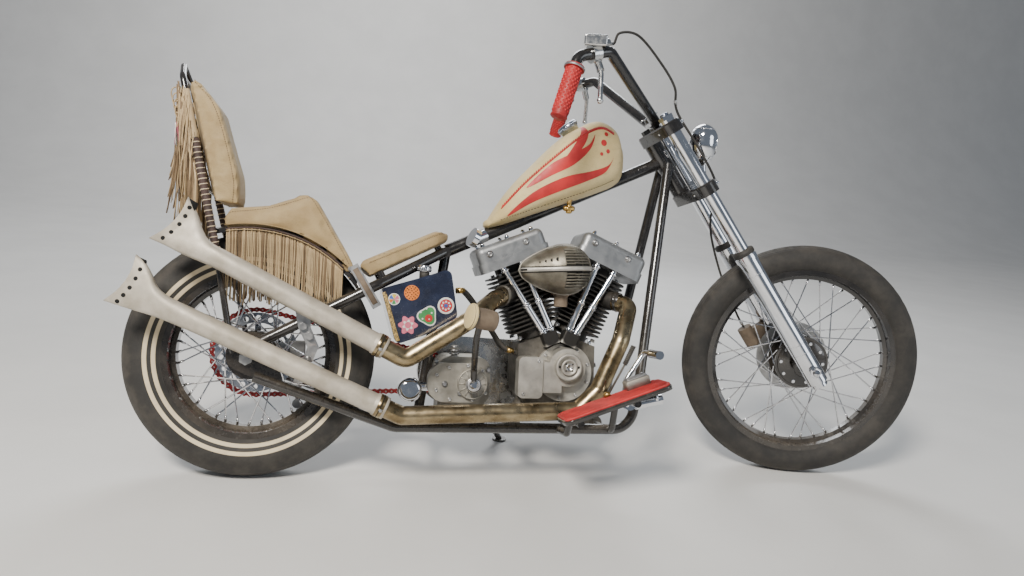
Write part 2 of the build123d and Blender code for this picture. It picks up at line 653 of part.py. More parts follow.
with BuildPart() as pushrod_tubes:
    for tilt, foot, top in PUSHRODS:
        frame_of_bank = bank_plane(tilt, 0)
        low = frame_of_bank.from_local_coords((foot, PUSHROD_Y, BLOCK_TOP))
        high = frame_of_bank.from_local_coords((top, PUSHROD_Y, ROCKER_BASE))
        way = high - low
        with BuildPart(mode=Mode.PRIVATE) as cover:
            add(rod(low - way * 0.05, high + way * 0.05, 8.5))
            add(rod(low - way * 0.05, low + way * 0.42, 10))
            with BuildSketch(bank_plane(tilt, BLOCK_TOP + GAP)):
                with Locations(((foot + top) / 2, PUSHROD_Y)):
                    Rectangle(160, 60)
            extrude(amount=ROCKER_BASE - BLOCK_TOP - GAP, mode=Mode.INTERSECT)
        add(cover.part)

with BuildPart() as carburettor:
    add(rod((CRANK_X - MANIFOLD_HALF, 0, INTAKE_Z), (CRANK_X + MANIFOLD_HALF, 0, INTAKE_Z), 27))
    add(rod((CRANK_X, 0, INTAKE_Z), (CRANK_X, -64, INTAKE_Z), 15))
    add(rod((CRANK_X, -60, INTAKE_Z), (CRANK_X, AIR_CLEANER_Y + GAP, INTAKE_Z), 26))
    add(rod((CRANK_X, -80, INTAKE_Z), (CRANK_X, -80, INTAKE_Z - 50), 19))

CLEANER_TIP = Vector(688, AIR_CLEANER_Y, 574)
CLEANER_WAY = Vector(1, 0, 0.068).normalized()
CLEANER_L = 204.0
with BuildPart() as air_cleaner:
    with BuildSketch(Plane(CLEANER_TIP, x_dir=CLEANER_WAY, z_dir=(0, -1, 0))):
        with BuildLine():
            ThreePointArc((0, 0), (58, 49), (128, 69))
            ThreePointArc((128, 69), (181, 50), (CLEANER_L, 0))
            Line((CLEANER_L, 0), (0, 0))
        make_face()
    revolve(axis=Axis(CLEANER_TIP, CLEANER_WAY))
    split(bisect_by=Plane(CLEANER_TIP, z_dir=(0, -1, 0)))
    with BuildSketch(Plane(CLEANER_TIP + Vector(0, -46, 0), x_dir=CLEANER_WAY, z_dir=(0, -1, 0))):
        for i in range(5):
            for half in SIDES:
                with Locations((118 + 14 * i, half * 36)):
                    SlotOverall(60, 5, rotation=90)
    extrude(amount=40, mode=Mode.SUBTRACT)
    with BuildSketch(Plane(CLEANER_TIP, x_dir=CLEANER_WAY, z_dir=(0, -1, 0))):
        with Locations((CLEANER_L / 2, 0)):
            Rectangle(CLEANER_L - 30, 9)
    extrude(amount=58)

with BuildPart() as gearbox:
    with BuildSketch(upright(66)):
        with Locations((555, 268)):
            RectangleRounded(142, 130, 34)
    extrude(amount=146)
    with BuildSketch(upright(-80)):
        with Locations((535, 266)):
            RectangleRounded(160, 104, 46)
    extrude(amount=26)
    with BuildSketch(upright(-106)):
        with Locations((573, 264)):
            Circle(40)
    extrude(amount=8)
    add(rod((573, -106, 264), (573, -142, 264), 9))
    add(rod((528, -60, 320), (528, -60, 362), 8))
    add(rod((528, -60, 346), (528, -60, 354), 13, sides=6))
    add(rod((DRIVE_X, 60, DRIVE_Z), (DRIVE_X, 100 - GAP, DRIVE_Z), 20))
    add(rod((DRIVE_X, SPROCKET_Y - 4, DRIVE_Z), (DRIVE_X, SPROCKET_Y + 4, DRIVE_Z),
            DRIVE_R - CHAIN_H / 2 - GAP))
    add(block((POST_FOOT_X + 50, -50, RAIL_Z + 12 + GAP), (620, 50, 212)))

with BuildPart() as kick_lever:
    add(rod((573, -123, 264), (573, -141, 264), 19))
    add(tube([(573, -132, 264), (570, -146, 306), (561, -216, 388), (566, -238, 432)], 26, 8.5))
    add(rod((543, -250, 446), (600, -232, 436), 24))
    add(rod((536, -252, 447), (546, -249, 445), 32))
    add(rod((573, -100, 264), (573, -150, 264), 9 + GAP), mode=Mode.SUBTRACT)

with BuildPart() as oil_filter:
    add(rod((410, -56, 243), (410, -108, 243), 32))
    fillet(oil_filter.faces().sort_by(Axis.Y)[0].edges(), 14)
    add(rod((420, -67, 250), (484 - GAP, -67, 250), 12))

with BuildPart() as primary_cover:
    with BuildSketch(upright(150)):
        with BuildSketch(mode=Mode.PRIVATE) as ends:
            with Locations((CRANK_X, CRANK_Z)):
                Circle(92)
            with Locations((545, 280)):
                Circle(100)
        add(make_hull(ends.sketch.edges(), mode=Mode.PRIVATE))
    extrude(amount=50)
    fillet(primary_cover.faces().sort_by(Axis.Y)[-1].edges(), 12)
    with BuildSketch(upright(156)):
        with Locations((545, 280)):
            Circle(62)
        with Locations((CRANK_X, CRANK_Z)):
            Circle(40)
    extrude(amount=10)

# Oil tank behind the seat post, with its hoses
with BuildPart() as oil_tank:
    with BuildSketch(upright(112)):
        with BuildLine():
            FilletPolyline((322, 506), (434, 543), (502, 568), (526, 440), (441, 389), (367, 362),
                           radius=16, close=True)
        make_face()
    extrude(amount=224)
    with BuildSketch(upright(20)):
        Polygon((425, 340), (560, 340), (560, 600), (470, 600), align=None)
    extrude(amount=40, mode=Mode.SUBTRACT)

with BuildPart() as oil_lines:
    for y in (-48, -24):
        add(tube([(529 + GAP, 2 * y + 12, 512), (552, 1.6 * y, 505), (604, y, 446), (660, y, 366),
                  (700 - 3 * GAP, y, 348 + GAP)], 18, 6))
    with BuildSketch(upright(400)):
        Polygon((400, 300), (530, 420), (505, 560), (400, 600), align=None)
    extrude(amount=800, mode=Mode.SUBTRACT)

# Exhausts, each a header and a straight silencer with a flared tail
UPPER_RUN = (Vector(337, EXHAUST_Y, 356), Vector(-118, EXHAUST_Y, 585))
LOWER_RUN = (Vector(345, EXHAUST_Y, 205), Vector(-190, EXHAUST_Y, 439))


def back_along(run, distance):
    """Point in front of a silencer's mouth, on its axis."""
    return run[0] - (run[1] - run[0]).normalized() * distance


def out_of_port(tilt, port, distance):
    """Point straight out of an exhaust port."""
    return port + (port - axis_at(tilt, INTAKE_Z - 8)).normalized() * distance


with BuildPart() as exhaust_headers:
    add(tube([out_of_port(-BANK, REAR_PORT, GAP), out_of_port(-BANK, REAR_PORT, 48), (552, EXHAUST_Y, 436),
              back_along(UPPER_RUN, 60), back_along(UPPER_RUN, GAP)], 26, PIPE_R))
    add(tube([out_of_port(BANK, FRONT_PORT, GAP), out_of_port(BANK, FRONT_PORT, 46), (962, EXHAUST_Y, 396),
              (905, EXHAUST_Y, 262), (850, EXHAUST_Y, 206), back_along(LOWER_RUN, 45),
              back_along(LOWER_RUN, GAP)], 26, PIPE_R))


def fishtail(run, tip_a, tip_b):
    """Straight silencer that flares into a flat notched tail, tip_a and tip_b its corners."""
    start, end = run
    way = (end - start).normalized()
    across = Vector(-way.Z, 0, way.X)
    tips = [Vector(t[0], EXHAUST_Y, t[1]) for t in (tip_a, tip_b)]
    notch = (tips[0] + tips[1]) * 0.5 - way * 26
    root = end - way * 150
    with BuildPart() as tail:
        add(rod(start, end - way * 20, SILENCER_R))
        add(rod(start, start + way * 30, SILENCER_R + 2.5))
        with BuildSketch(upright(EXHAUST_Y + 19)):
            with BuildLine():
                crown, belly = [[(p.X, p.Z) for p in (root + out * (SILENCER_R - 4), end + out * (SILENCER_R + 3), tip)]
                                for out, tip in ((-across, tips[0]), (across, tips[1]))]
                Spline(*crown)
                ThreePointArc(crown[2], (notch.X, notch.Z), belly[2])
                Spline(*belly[::-1])
                Line(belly[0], crown[0])
            make_face()
        extrude(amount=38)
    return tail.part


with BuildPart() as fishtails:
    add(fishtail(UPPER_RUN, (-145, 704), (-229, 598)))
    add(fishtail(LOWER_RUN, (-253, 559), (-319, 447)))

# Steel brackets: a hanger for the silencers on the right stay, and the seat's channel
STRUT_Y = -RAIL_Y - 13
with BuildPart() as steel_brackets:
    with BuildSketch(upright(STRUT_Y + 1.5)):
        Polygon((112, 444), (148, 444), (152, 400), (174, 352), (160, 312), (138, 316), (146, 350),
                (122, 398), align=None)
    extrude(amount=5)
    for x, z in ((130, 436), (150, 322)):
        add(rod((x, STRUT_Y - 3, z), (x, EXHAUST_Y, z + (14 if z > 400 else -18)), 7))
    for x, z in ((134, 402), (150, 378)):
        add(rod((x, STRUT_Y - 2, z), (x, STRUT_Y - 14, z), 10, sides=6))
    for run in (UPPER_RUN, LOWER_RUN):
        add(rod(run[0], run[1], SILENCER_R + 3), mode=Mode.SUBTRACT)
    add(tube([(300, -0.95 * RAIL_Y, 508), (20, -RAIL_Y, 352)], 1, TUBE_R + GAP), mode=Mode.SUBTRACT)
    channel_top, channel_foot = Vector(249, -136, 561), Vector(314, -136, 458)
    way = (channel_foot - channel_top).normalized()
    with BuildSketch(Plane(channel_top, x_dir=(way.Z, 0, -way.X), z_dir=way)):
        Rectangle(24, 13)
        with Locations((0, 3)):
            Rectangle(18, 13, mode=Mode.SUBTRACT)
    extrude(amount=(channel_foot - channel_top).length)
    add(rod((242, -131, 552), (242, -SEAT_HALF - GAP, 552), 6))

# Fender, sissy bar and seat
fender_start = Plane(REAR_AXLE, x_dir=(0, 1, 0),
                     z_dir=(sin(radians(FENDER_FRONT)), 0, -cos(radians(FENDER_FRONT))))
with BuildPart() as rear_fender:
    with BuildSketch(fender_start):
        with BuildLine():
            outline = [(-FENDER_HALF, FENDER_R - SKIRT), (-FENDER_HALF, FENDER_R - 6),
                       (-FENDER_HALF + 24, FENDER_R), (FENDER_HALF - 24, FENDER_R),
                       (FENDER_HALF, FENDER_R - 6), (FENDER_HALF, FENDER_R - SKIRT)]
            inside = [(y * (FENDER_HALF - FENDER_T) / FENDER_HALF, r - (0 if r == FENDER_R - SKIRT else FENDER_T))
                      for y, r in reversed(outline)]
            Polyline(*outline, *inside, close=True)
        make_face()
    revolve(axis=Axis(REAR_AXLE, (0, -1, 0)), revolution_arc=FENDER_ARC)

SISSY_Y = PLATE_OUT + SISSY_R + GAP
SISSY_KNEE = Vector(-80, 118, 560)
SISSY_SHOULDER = Vector(-196, 60, 1020)


def sissy_at(z):
    """Point of the left sissy bar's long straight run at a height."""
    return SISSY_KNEE + (SISSY_SHOULDER - SISSY_KNEE) * ((z - SISSY_KNEE.Z) / (SISSY_SHOULDER.Z - SISSY_KNEE.Z))


with BuildPart() as sissy_bar:
    for side in SIDES:
        knee, shoulder, boss = [Vector(p.X, side * p.Y, p.Z) for p in (SISSY_KNEE, SISSY_SHOULDER, sissy_at(635))]
        add(tube([(-30, side * SISSY_Y, 330), (-44, side * SISSY_Y, 390), knee, shoulder, (-208, 0, 1062)], 30, SISSY_R))
        add(rod(boss, (boss.X, side * (FENDER_HALF + GAP), boss.Z), 7))
    for z in (740, 1014):
        left = sissy_at(z)
        add(rod((left.X, -left.Y, z), (left.X, left.Y, z), 7))

with BuildPart() as front_seat:
    with BuildSketch(upright(105)):
        with BuildLine():
            FilletPolyline((256, 564), (276, 578), (470, 672), (506, 668), SEAT_UNDER[1], SEAT_UNDER[0],
                           radius=8, close=True)
        make_face()
    extrude(amount=210)
    with BuildSketch(Plane.XY.offset(500)):
        with BuildLine():
            Polyline((240, -106), (240, 106), (330, 106), (470, 78))
            ThreePointArc((470, 78), (516, 0), (470, -78))
            Polyline((470, -78), (330, -106), (240, -106))
        make_face()
    extrude(amount=200, mode=Mode.INTERSECT)

with BuildPart() as rear_seat:
    with BuildSketch(upright(SEAT_HALF)):
        with BuildLine():
            rear_edge, front_edge = [Vector(SEAT_EDGE_R * cos(radians(a)), REAR_TYRE_R + SEAT_EDGE_R * sin(radians(a)))
                                     for a in (102.5, 41.0)]
            crown = (SEAT_EDGE_R * cos(radians(75)), REAR_TYRE_R + SEAT_EDGE_R * sin(radians(75)))
            Polyline(front_edge, (252, 556), (232, 594), (150, 726))
            ThreePointArc((150, 726), (122, 739), (94, 729))
            Polyline((94, 729), (30, 706), (-62, 690), (-80, 660), rear_edge)
            ThreePointArc(rear_edge, crown, front_edge)
        make_face()
    extrude(amount=2 * SEAT_HALF)
    with BuildSketch(upright(FENDER_HALF + 2 * GAP)):
        with Locations((0, REAR_TYRE_R)):
            Circle(FENDER_R + GAP)
    extrude(amount=2 * FENDER_HALF + 4 * GAP, mode=Mode.SUBTRACT)

with BuildPart() as backrest:
    rear_line = [sissy_at(z) + Vector(SISSY_R + SLEEVE_T + 3 * GAP, 0, 0) for z in (704, 1010)]
    with BuildSketch(upright(72)):
        with BuildLine():
            FilletPolyline((rear_line[0].X, 704), (-44, 700), (-50, 780), (-104, 950), (-168, 1022),
                           (rear_line[1].X, 1010), radius=9, close=True)
        make_face()
    extrude(amount=144)

# Leather fringe: a laced strip of thongs along each edge of the seat, and sleeves with long ones on the sissy bar
THONG_W = 5.0
THONG_T = 2.2
THONGS = 40
FRINGE_R = 330.0
FRINGE_FOOT = REAR_TYRE_R + 141
with BuildPart() as fringe:
    for start in (-SEAT_HALF - GAP, SEAT_HALF + GAP + THONG_T):
        with BuildSketch(upright(start)):
            for i in range(THONGS):
                a = radians(101.0 - 53.3 * i / (THONGS - 1))
                root = REAR_TYRE_R + FRINGE_R * sin(a)
                foot = FRINGE_FOOT + 3 * ((i * 7) % 4)
                with Locations((FRINGE_R * cos(a), (root + foot) / 2)):
                    Rectangle(THONG_W, root - foot)
            with BuildLine():
                outer, inner = [[(r * cos(radians(d)), REAR_TYRE_R + r * sin(radians(d)))
                                 for d in (102.0, 74.0, 47.0)] for r in (FRINGE_R + 4, FRINGE_R - 8)]
                ThreePointArc(*outer)
                Line(outer[2], inner[2])
                ThreePointArc(*inner[::-1])
                Line(inner[0], outer[0])
            make_face()
        extrude(amount=THONG_T)
    for side in SIDES:
        low, high = [Vector(p.X, side * p.Y, p.Z) for p in (sissy_at(776), sissy_at(1000))]
        add(rod(low, high, SISSY_R + SLEEVE_T))
        for i in range(8):
            root = low + (high - low) * ((i + 0.5) / 8) - Vector(SISSY_R + 1.2, 0, 0)
            add(rod(root, root - FLOOR_UP * (root.Z - 620 - 14 * ((i * 3) % 4)), THONG_W / 2, sides=4))
        add(rod(low - (high - low) * 0.1, high + (high - low) * 0.1, SISSY_R + GAP), mode=Mode.SUBTRACT)

# Fuel tank, from its sections: x, floor and crown heights, half width, corner radius
TANK = ((612, 690, 716, 34, 11), (655, 704, 786, 74, 28), (740, 738, 888, 104, 44), (840, 778, 982, 112, 56),
        (920, 810, 1016, 104, 56), (968, 832, 994, 80, 46), (988, 846, 960, 52, 34))
with BuildPart() as fuel_tank:
    for x, low, high, half, corner in TANK:
        with BuildSketch(Plane((x, 0, (low + high) / 2), x_dir=(0, 1, 0), z_dir=(1, 0, 0))):
            RectangleRounded(2 * half, high - low, min(corner, (high - low) / 2 - 1))
    loft()
    add(rod(BACKBONE_FRONT, BACKBONE_REAR, BACKBONE_R + GAP), mode=Mode.SUBTRACT)
    with BuildSketch(upright(BACKBONE_R + GAP)):
        a = (BACKBONE_FRONT - BACKBONE_REAR).normalized()
        Polygon((BACKBONE_REAR.X, BACKBONE_REAR.Z), (BACKBONE_FRONT.X, BACKBONE_FRONT.Z),
                (BACKBONE_FRONT.X + 120 * a.Z, BACKBONE_FRONT.Z - 120 * a.X),
                (BACKBONE_REAR.X + 120 * a.Z, BACKBONE_REAR.Z - 120 * a.X), align=None)
    extrude(amount=2 * (BACKBONE_R + GAP), mode=Mode.SUBTRACT)

# Tank cap and tap, and the oil tank's cap
with BuildPart() as fluid_fittings:
    up = Vector(-0.62, 0, 0.78)
    cap = Vector(846, 0, 986)
    add(rod(cap - up * 6, cap + up * 26, 30))
    add(fuel_tank.part, mode=Mode.SUBTRACT)
    add(rod((434, -93, 536), (434, -93, 556), 12))
    add(rod((434, -93, 556), (434, -93, 572), 17))
    add(oil_tank.part, mode=Mode.SUBTRACT)
    tap = Vector(836, -48, 744)
    add(rod(tap, tap + Vector(0, 0, 50), 9))
    add(rod(tap + Vector(-16, 0, 14), tap + Vector(16, 0, 14), 8))
    add(fuel_tank.part, mode=Mode.SUBTRACT)

# Horn on the backbone, between the tank and the rear head
with BuildPart() as horn:
    add(rod((560, -62, 660), (574, -58, 654), 27))
    add(rod((574, -58, 654), (600, -50, 666), 17))
    add(rod((584, -54, 660), (584, -8, 660), 8))
    add(rod(BACKBONE_FRONT, BACKBONE_REAR, BACKBONE_R + GAP), mode=Mode.SUBTRACT)

# Floorboards, pedals and the brake's cylinder
with BuildPart() as floorboards:
    for side in SIDES:
        with BuildSketch(board_plane(side)):
            with Locations((BOARD_L / 2, 0)):
                RectangleRounded(BOARD_L, BOARD_W, 20)
        extrude(amount=-BOARD_T)

pivot_x, pivot_z = outrigger_seat(OUTRIGGERS[1])
with BuildPart() as foot_pedals:
    for side in SIDES:
        inner = side * (BOARD_Y - BOARD_W / 2 - 8)
        add(rod((pivot_x, inner, pivot_z), (pivot_x, inner - side * 24, pivot_z), OUTRIGGER_R + 7))
        add(tube([(pivot_x, inner - side * 12, pivot_z), (pivot_x + 6, inner - side * 12, pivot_z + 50),
                  (pivot_x + 52, inner - side * 12, pivot_z + 122),
                  (pivot_x + 52, side * BOARD_Y, pivot_z + 122)], 12, 6.5))
        add(rod((pivot_x + 52, side * (BOARD_Y - 26), pivot_z + 122),
                (pivot_x + 52, side * (BOARD_Y + 34), pivot_z + 122), 11))
        add(rod((pivot_x, side * 150, pivot_z), (pivot_x, side * 300, pivot_z), OUTRIGGER_R + GAP),
            mode=Mode.SUBTRACT)
    add(rod((pivot_x + 16, -272, pivot_z - 10), (pivot_x + 88, -272, pivot_z + 6), 13))
    add(rod((pivot_x, -264, pivot_z - 8), (pivot_x, -280, pivot_z - 8), 16))
    add(rod((pivot_x, -250, pivot_z), (pivot_x, -290, pivot_z), OUTRIGGER_R + GAP), mode=Mode.SUBTRACT)

# Chain tensioner on the left rail, and the rear brake's caliper on the sprocket's ring
with BuildPart() as chain_tensioner:
    add(rod((102, RAIL_Y, 243.6), (126, RAIL_Y, 235.2), 20))
    add(rod((114, 108, 232), (114, 108, 178), 9))
    add(rod((114, 108, 178), (114, 78, 178), 8))
    add(rod((114, 96, 178), (114, 76, 178), 13))
    add(tube([(RAIL_REAR_X, RAIL_Y, RAIL_Z), (20, RAIL_Y, 272)], 1, TUBE_R + GAP), mode=Mode.SUBTRACT)

with BuildPart() as rear_caliper:
    add(block((86, 71, 300), (130, 106, 352), 4))
    add(block((84, 81.5, 296), (119, 90.5, 356)), mode=Mode.SUBTRACT)
    add(block((52, 106, 312), (128, RAIL_Y - PLATE_T / 2 - GAP, 340)))

# Each piece with the group that carries it: body, front end, or a wheel drawn at the origin
PIECES = {
    "frame": (frame.part, "body"),
    "fuel_tank": (fuel_tank.part, "body"),
    "fluid_fittings": (fluid_fittings.part, "body"),
    "front_seat": (front_seat.part, "body"),
    "rear_seat": (rear_seat.part, "body"),
    "backrest": (backrest.part, "body"),
    "fringe": (fringe.part, "body"),
    "sissy_bar": (sissy_bar.part, "body"),
    "rear_fender": (rear_fender.part, "body"),
    "steel_brackets": (steel_brackets.part, "body"),
    "oil_tank": (oil_tank.part, "body"),
    "oil_lines": (oil_lines.part, "body"),
    "oil_filter": (oil_filter.part, "body"),
    "crankcase": (crankcase.part, "body"),
    "timing_cover": (timing_cover.part, "body"),
    "cylinders": (cylinders.part, "body"),
    "rocker_boxes": (rocker_boxes.part, "body"),
    "pushrod_tubes": (pushrod_tubes.part, "body"),
    "carburettor": (carburettor.part, "body"),
    "air_cleaner": (air_cleaner.part, "body"),
    "horn": (horn.part, "body"),
    "gearbox": (gearbox.part, "body"),
    "kick_lever": (kick_lever.part, "body"),
    "primary_cover": (primary_cover.part, "body"),
    "exhaust_headers": (exhaust_headers.part, "body"),
    "fishtails": (fishtails.part, "body"),
    "floorboards": (floorboards.part, "body"),
    "foot_pedals": (foot_pedals.part, "body"),
    "drive_chain": (chain.part, "body"),
    "chain_tensioner": (chain_tensioner.part, "body"),
    "rear_caliper": (rear_caliper.part, "body"),
    "rear_axle": (rear_axle.part, "rear wheel"),
    "side_stand": (side_stand.part, "body"),
    "rear_tyre": (rear_tyre, "rear wheel"),
    "rear_rim": (rear_rim, "rear wheel"),
    "rear_spokes": (rear_spokes, "rear wheel"),
    "rear_hub": (rear_hub, "rear wheel"),
    "rear_sprocket": (sprocket.part, "rear wheel"),
    "front_tyre": (front_tyre, "front wheel"),
    "front_rim": (front_rim, "front wheel"),
    "front_spokes": (front_spokes, "front wheel"),
    "front_hub": (front_hub, "front wheel"),
    "front_disc": (front_disc.part, "front wheel"),
    "front_axle": (front_axle.part, "front wheel"),
    "lower_tree": (lower_tree.part, "front end"),
    "upper_tree": (upper_tree.part, "front end"),
    "fork_tubes": (fork_tubes.part, "front end"),
    "fork_sliders": (fork_sliders.part, "front end"),
    "handlebar": (handlebar.part, "front end"),
    "grips": (grips.part, "front end"),
    "hand_levers": (hand_levers.part, "front end"),
    "headlight": (headlight.part, "front end"),
    "cables": (cables.part, "front end"),
    "front_caliper": (front_caliper.part, "front end"),
}

parked = {name: lean(*piece).rotate(Axis.Y, pitch) for name, piece in PIECES.items()}
drop = parked["rear_tyre"].bounding_box().min.Z
box = Compound([solid for shape in parked.values() for solid in shape.solids()]).bounding_box()
middle = Pos(-box.center().X, -box.center().Y, -drop)

os.makedirs("parts", exist_ok=True)
for name, shape in parked.items():
    piece = shape.moved(middle)
    piece.label = name
    export_step(piece, f"parts/{name}.step")
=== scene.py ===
"""Looks of the parked chopper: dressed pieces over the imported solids, materials, light and camera.

Pieces are drawn upright and straight ahead in millimetres, as the solids are, and put in place by
two matrices: one for the machine and one for its turned front end.
"""
import bpy
import json
import numpy as np
from math import atan2, cos, pi, radians, sin, sqrt
from mathutils import Matrix, Vector, geometry
from mathutils.bvhtree import BVHTree


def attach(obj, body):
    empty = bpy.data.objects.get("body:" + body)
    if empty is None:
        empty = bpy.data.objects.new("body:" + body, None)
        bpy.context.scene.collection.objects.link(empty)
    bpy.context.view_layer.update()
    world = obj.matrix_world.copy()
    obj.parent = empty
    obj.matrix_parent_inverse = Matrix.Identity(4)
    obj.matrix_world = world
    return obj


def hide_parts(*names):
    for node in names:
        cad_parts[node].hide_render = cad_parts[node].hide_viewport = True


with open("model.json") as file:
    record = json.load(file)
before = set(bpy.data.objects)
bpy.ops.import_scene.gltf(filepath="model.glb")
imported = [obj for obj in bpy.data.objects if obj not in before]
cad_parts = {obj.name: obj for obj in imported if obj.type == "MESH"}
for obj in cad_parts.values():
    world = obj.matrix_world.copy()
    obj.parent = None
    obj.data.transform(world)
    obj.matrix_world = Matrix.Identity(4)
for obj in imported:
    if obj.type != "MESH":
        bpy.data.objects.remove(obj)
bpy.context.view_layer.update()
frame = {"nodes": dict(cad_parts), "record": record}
RNG = np.random.default_rng(7)

# Placement, as in the solids: angles in degrees, lengths in millimetres
PARK_STEER, PARK_LEAN, PITCH, RAKE = -17.1, 11.0, -0.11797, 35
WHEELBASE, FRONT_R, REAR_R, STEM_BACK = 1596.0, 351.5, 317.0, 51
REAR_AXLE, FRONT_AXLE = (0, 0, REAR_R), (WHEELBASE, 0, FRONT_R)
S, C = sin(radians(RAKE)), cos(radians(RAKE))
MM = Matrix.Diagonal((0.001, 0.001, 0.001, 1))
TILT = Matrix.Rotation(radians(PITCH), 4, "Y") @ Matrix.Rotation(radians(-PARK_LEAN), 4, "X")
HUB = next(j["pos_m"] for j in frame["record"]["behaviour"]["joints"] if j["name"] == "rear_wheel_spin")
BODY = MM @ Matrix.Translation(Vector(HUB) * 1000 - TILT @ Vector(REAR_AXLE)) @ TILT
STEM_FOOT = Vector((WHEELBASE - C * STEM_BACK, 0, FRONT_R - S * STEM_BACK))
STEM_DIR = Vector((-S, 0, C))
STEER = Matrix.Rotation(radians(PARK_STEER), 4, STEM_DIR)
FRONT = BODY @ Matrix.Translation(STEM_FOOT) @ STEER @ Matrix.Translation(-STEM_FOOT)
PLACES = {"chassis": BODY, "rear_wheel": BODY, "side_stand": BODY, "front_end": FRONT, "front_wheel": FRONT}
DOWN = np.array((0, sin(radians(PARK_LEAN)), -cos(radians(PARK_LEAN))))
RIGHT, UP, AHEAD = Vector((0, -1, 0)), Vector((0, 0, 1)), Vector((1, 0, 0))


# Camera: its place and view directions in the upright machine's frame
def look(position, forward, right):
    f, r = forward.normalized(), right.normalized()
    u = r.cross(f).normalized()
    r = f.cross(u).normalized()
    m = Matrix(((r.x, u.x, -f.x, 0), (r.y, u.y, -f.y, 0), (r.z, u.z, -f.z, 0), (0, 0, 0, 1)))
    return Matrix.Translation(position) @ m


PHOTO_W, FOCAL_PX, SENSOR_MM = 1024, 745.93, 36
scene = bpy.context.scene
camera = bpy.data.objects.new("camera", bpy.data.cameras.new("camera"))
scene.collection.objects.link(camera)
camera.data.sensor_width = SENSOR_MM
camera.data.lens = FOCAL_PX / PHOTO_W * SENSOR_MM
turn = BODY.to_3x3() * 1000
camera.matrix_world = look(BODY @ Vector((255.04, -2075.31, 484.12)), turn @ Vector((0.20621, 0.97830, 0.02007)),
                           turn @ Vector((0.97728, -0.20693, 0.04584)))
scene.camera = camera


# Materials
def graph(name):
    m = bpy.data.materials.new(name)
    m.use_nodes = True
    t = m.node_tree
    t.nodes.clear()
    out = t.nodes.new("ShaderNodeOutputMaterial")
    shader = t.nodes.new("ShaderNodeBsdfPrincipled")
    t.links.new(shader.outputs[0], out.inputs[0])
    return m, t, shader, put(t, "TexCoord").outputs["Object"]


def put(t, kind, inputs=(), **props):
    n = t.nodes.new("ShaderNode" + kind)
    for k, v in props.items():
        setattr(n, k, v)
    for k, v in dict(inputs).items():
        feed(t, n.inputs[k], v)
    return n


def feed(t, socket, value):
    """Links a socket to another one, or sets its value."""
    if isinstance(value, bpy.types.NodeSocket):
        t.links.new(value, socket)
    else:
        socket.default_value = value


def noise(t, coords, scale, detail=4.0, rough=0.55, stretch=None):
    if stretch:
        coords = put(t, "Mapping", {0: coords, 3: stretch}).outputs[0]
    return put(t, "TexNoise", {"Vector": coords, "Scale": scale, "Detail": detail, "Roughness": rough}).outputs[0]


def ramp(t, fac, lo, hi, a=0.0, b=1.0):
    n = put(t, "MapRange", {0: fac, 1: lo, 2: hi, 3: a, 4: b})
    n.interpolation_type = "SMOOTHSTEP"
    return n.outputs[0]


def mul(t, a, b, op="MULTIPLY"):
    return put(t, "Math", {0: a, 1: b}, operation=op).outputs[0]


def mix(t, fac, a, b):
    a, b = ((*v, 1) if isinstance(v, tuple) else v for v in (a, b))
    return put(t, "Mix", {0: fac, 6: a, 7: b}, data_type="RGBA").outputs[2]


def scaled(color, factor, extra=0.0):
    return tuple(min(1.0, max(0.0, c * factor + extra)) for c in color)


def surface(name, color, rough=0.4, metal=0.0, coat=0.0, vary=0.15, vary_scale=18, dust=0.0, bump=0.0,
            bump_scale=300, scratch=0.0, rust=0.0, second=None, stretch=None, spots=()):
    """Finish with two-tone mottling, grain, dust on what faces up and low down, scratches, rust and near-black spots
    round given points.
    """
    m, t, shader, coords = graph(name)

    def worn(base, roughness, fac, tone, more_rough):
        return mix(t, fac, base, tone), mul(t, roughness, mul(t, fac, more_rough), "ADD")

    big = noise(t, coords, vary_scale, 5.0, 0.6, stretch)
    fine = noise(t, coords, bump_scale, 3.0)
    base = mix(t, ramp(t, big, 0.3, 0.7), scaled(color, 1 - vary), second or scaled(color, 1 + vary))
    roughness = mul(t, ramp(t, noise(t, coords, vary_scale * 3, 4.0), 0.3, 0.7, -0.06, 0.09), rough, "ADD")
    if scratch:
        f = ramp(t, noise(t, coords, 60, 6.0, 0.7, (1.0, 9.0, 1.6)), 0.62, 0.72, 0.0, scratch)
        base, roughness = worn(base, roughness, f, scaled(color, 1.8, 0.04), 0.25)
    if rust:
        f = ramp(t, noise(t, coords, 26, 8.0, 0.75), 0.56, 0.70, 0.0, rust)
        base, roughness = worn(base, roughness, f, (0.22, 0.085, 0.03), 0.5)
    if dust:
        up = put(t, "SeparateXYZ", {0: put(t, "NewGeometry").outputs["Normal"]}).outputs[2]
        low = ramp(t, put(t, "SeparateXYZ", {0: coords}).outputs[2], 0.05, 0.75, 1.0, 0.25)
        f = mul(t, mul(t, ramp(t, up, -0.4, 1.0, 0.25, 1.0), low),
                ramp(t, noise(t, coords, 9, 8.0, 0.7), 0.35, 0.75, 0.1, dust))
        base, roughness = worn(base, roughness, f, (0.30, 0.24, 0.17), 0.45)
    for centre, reach in spots:
        away = put(t, "VectorMath", {0: coords, 1: centre}, operation="DISTANCE").outputs["Value"]
        base = mix(t, ramp(t, away, reach * 0.8, reach, 1.0, 0.0), base, (0.035, 0.033, 0.030))
    for key, value in (("Base Color", base), ("Roughness", roughness), ("Metallic", metal), ("Coat Weight", coat),
                       ("Coat Roughness", 0.08)):
        feed(t, shader.inputs[key], value)
    if bump:
        b = put(t, "Bump", {"Strength": bump, "Distance": 0.0006, "Height": fine})
        t.links.new(b.outputs[0], shader.inputs["Normal"])
    return m


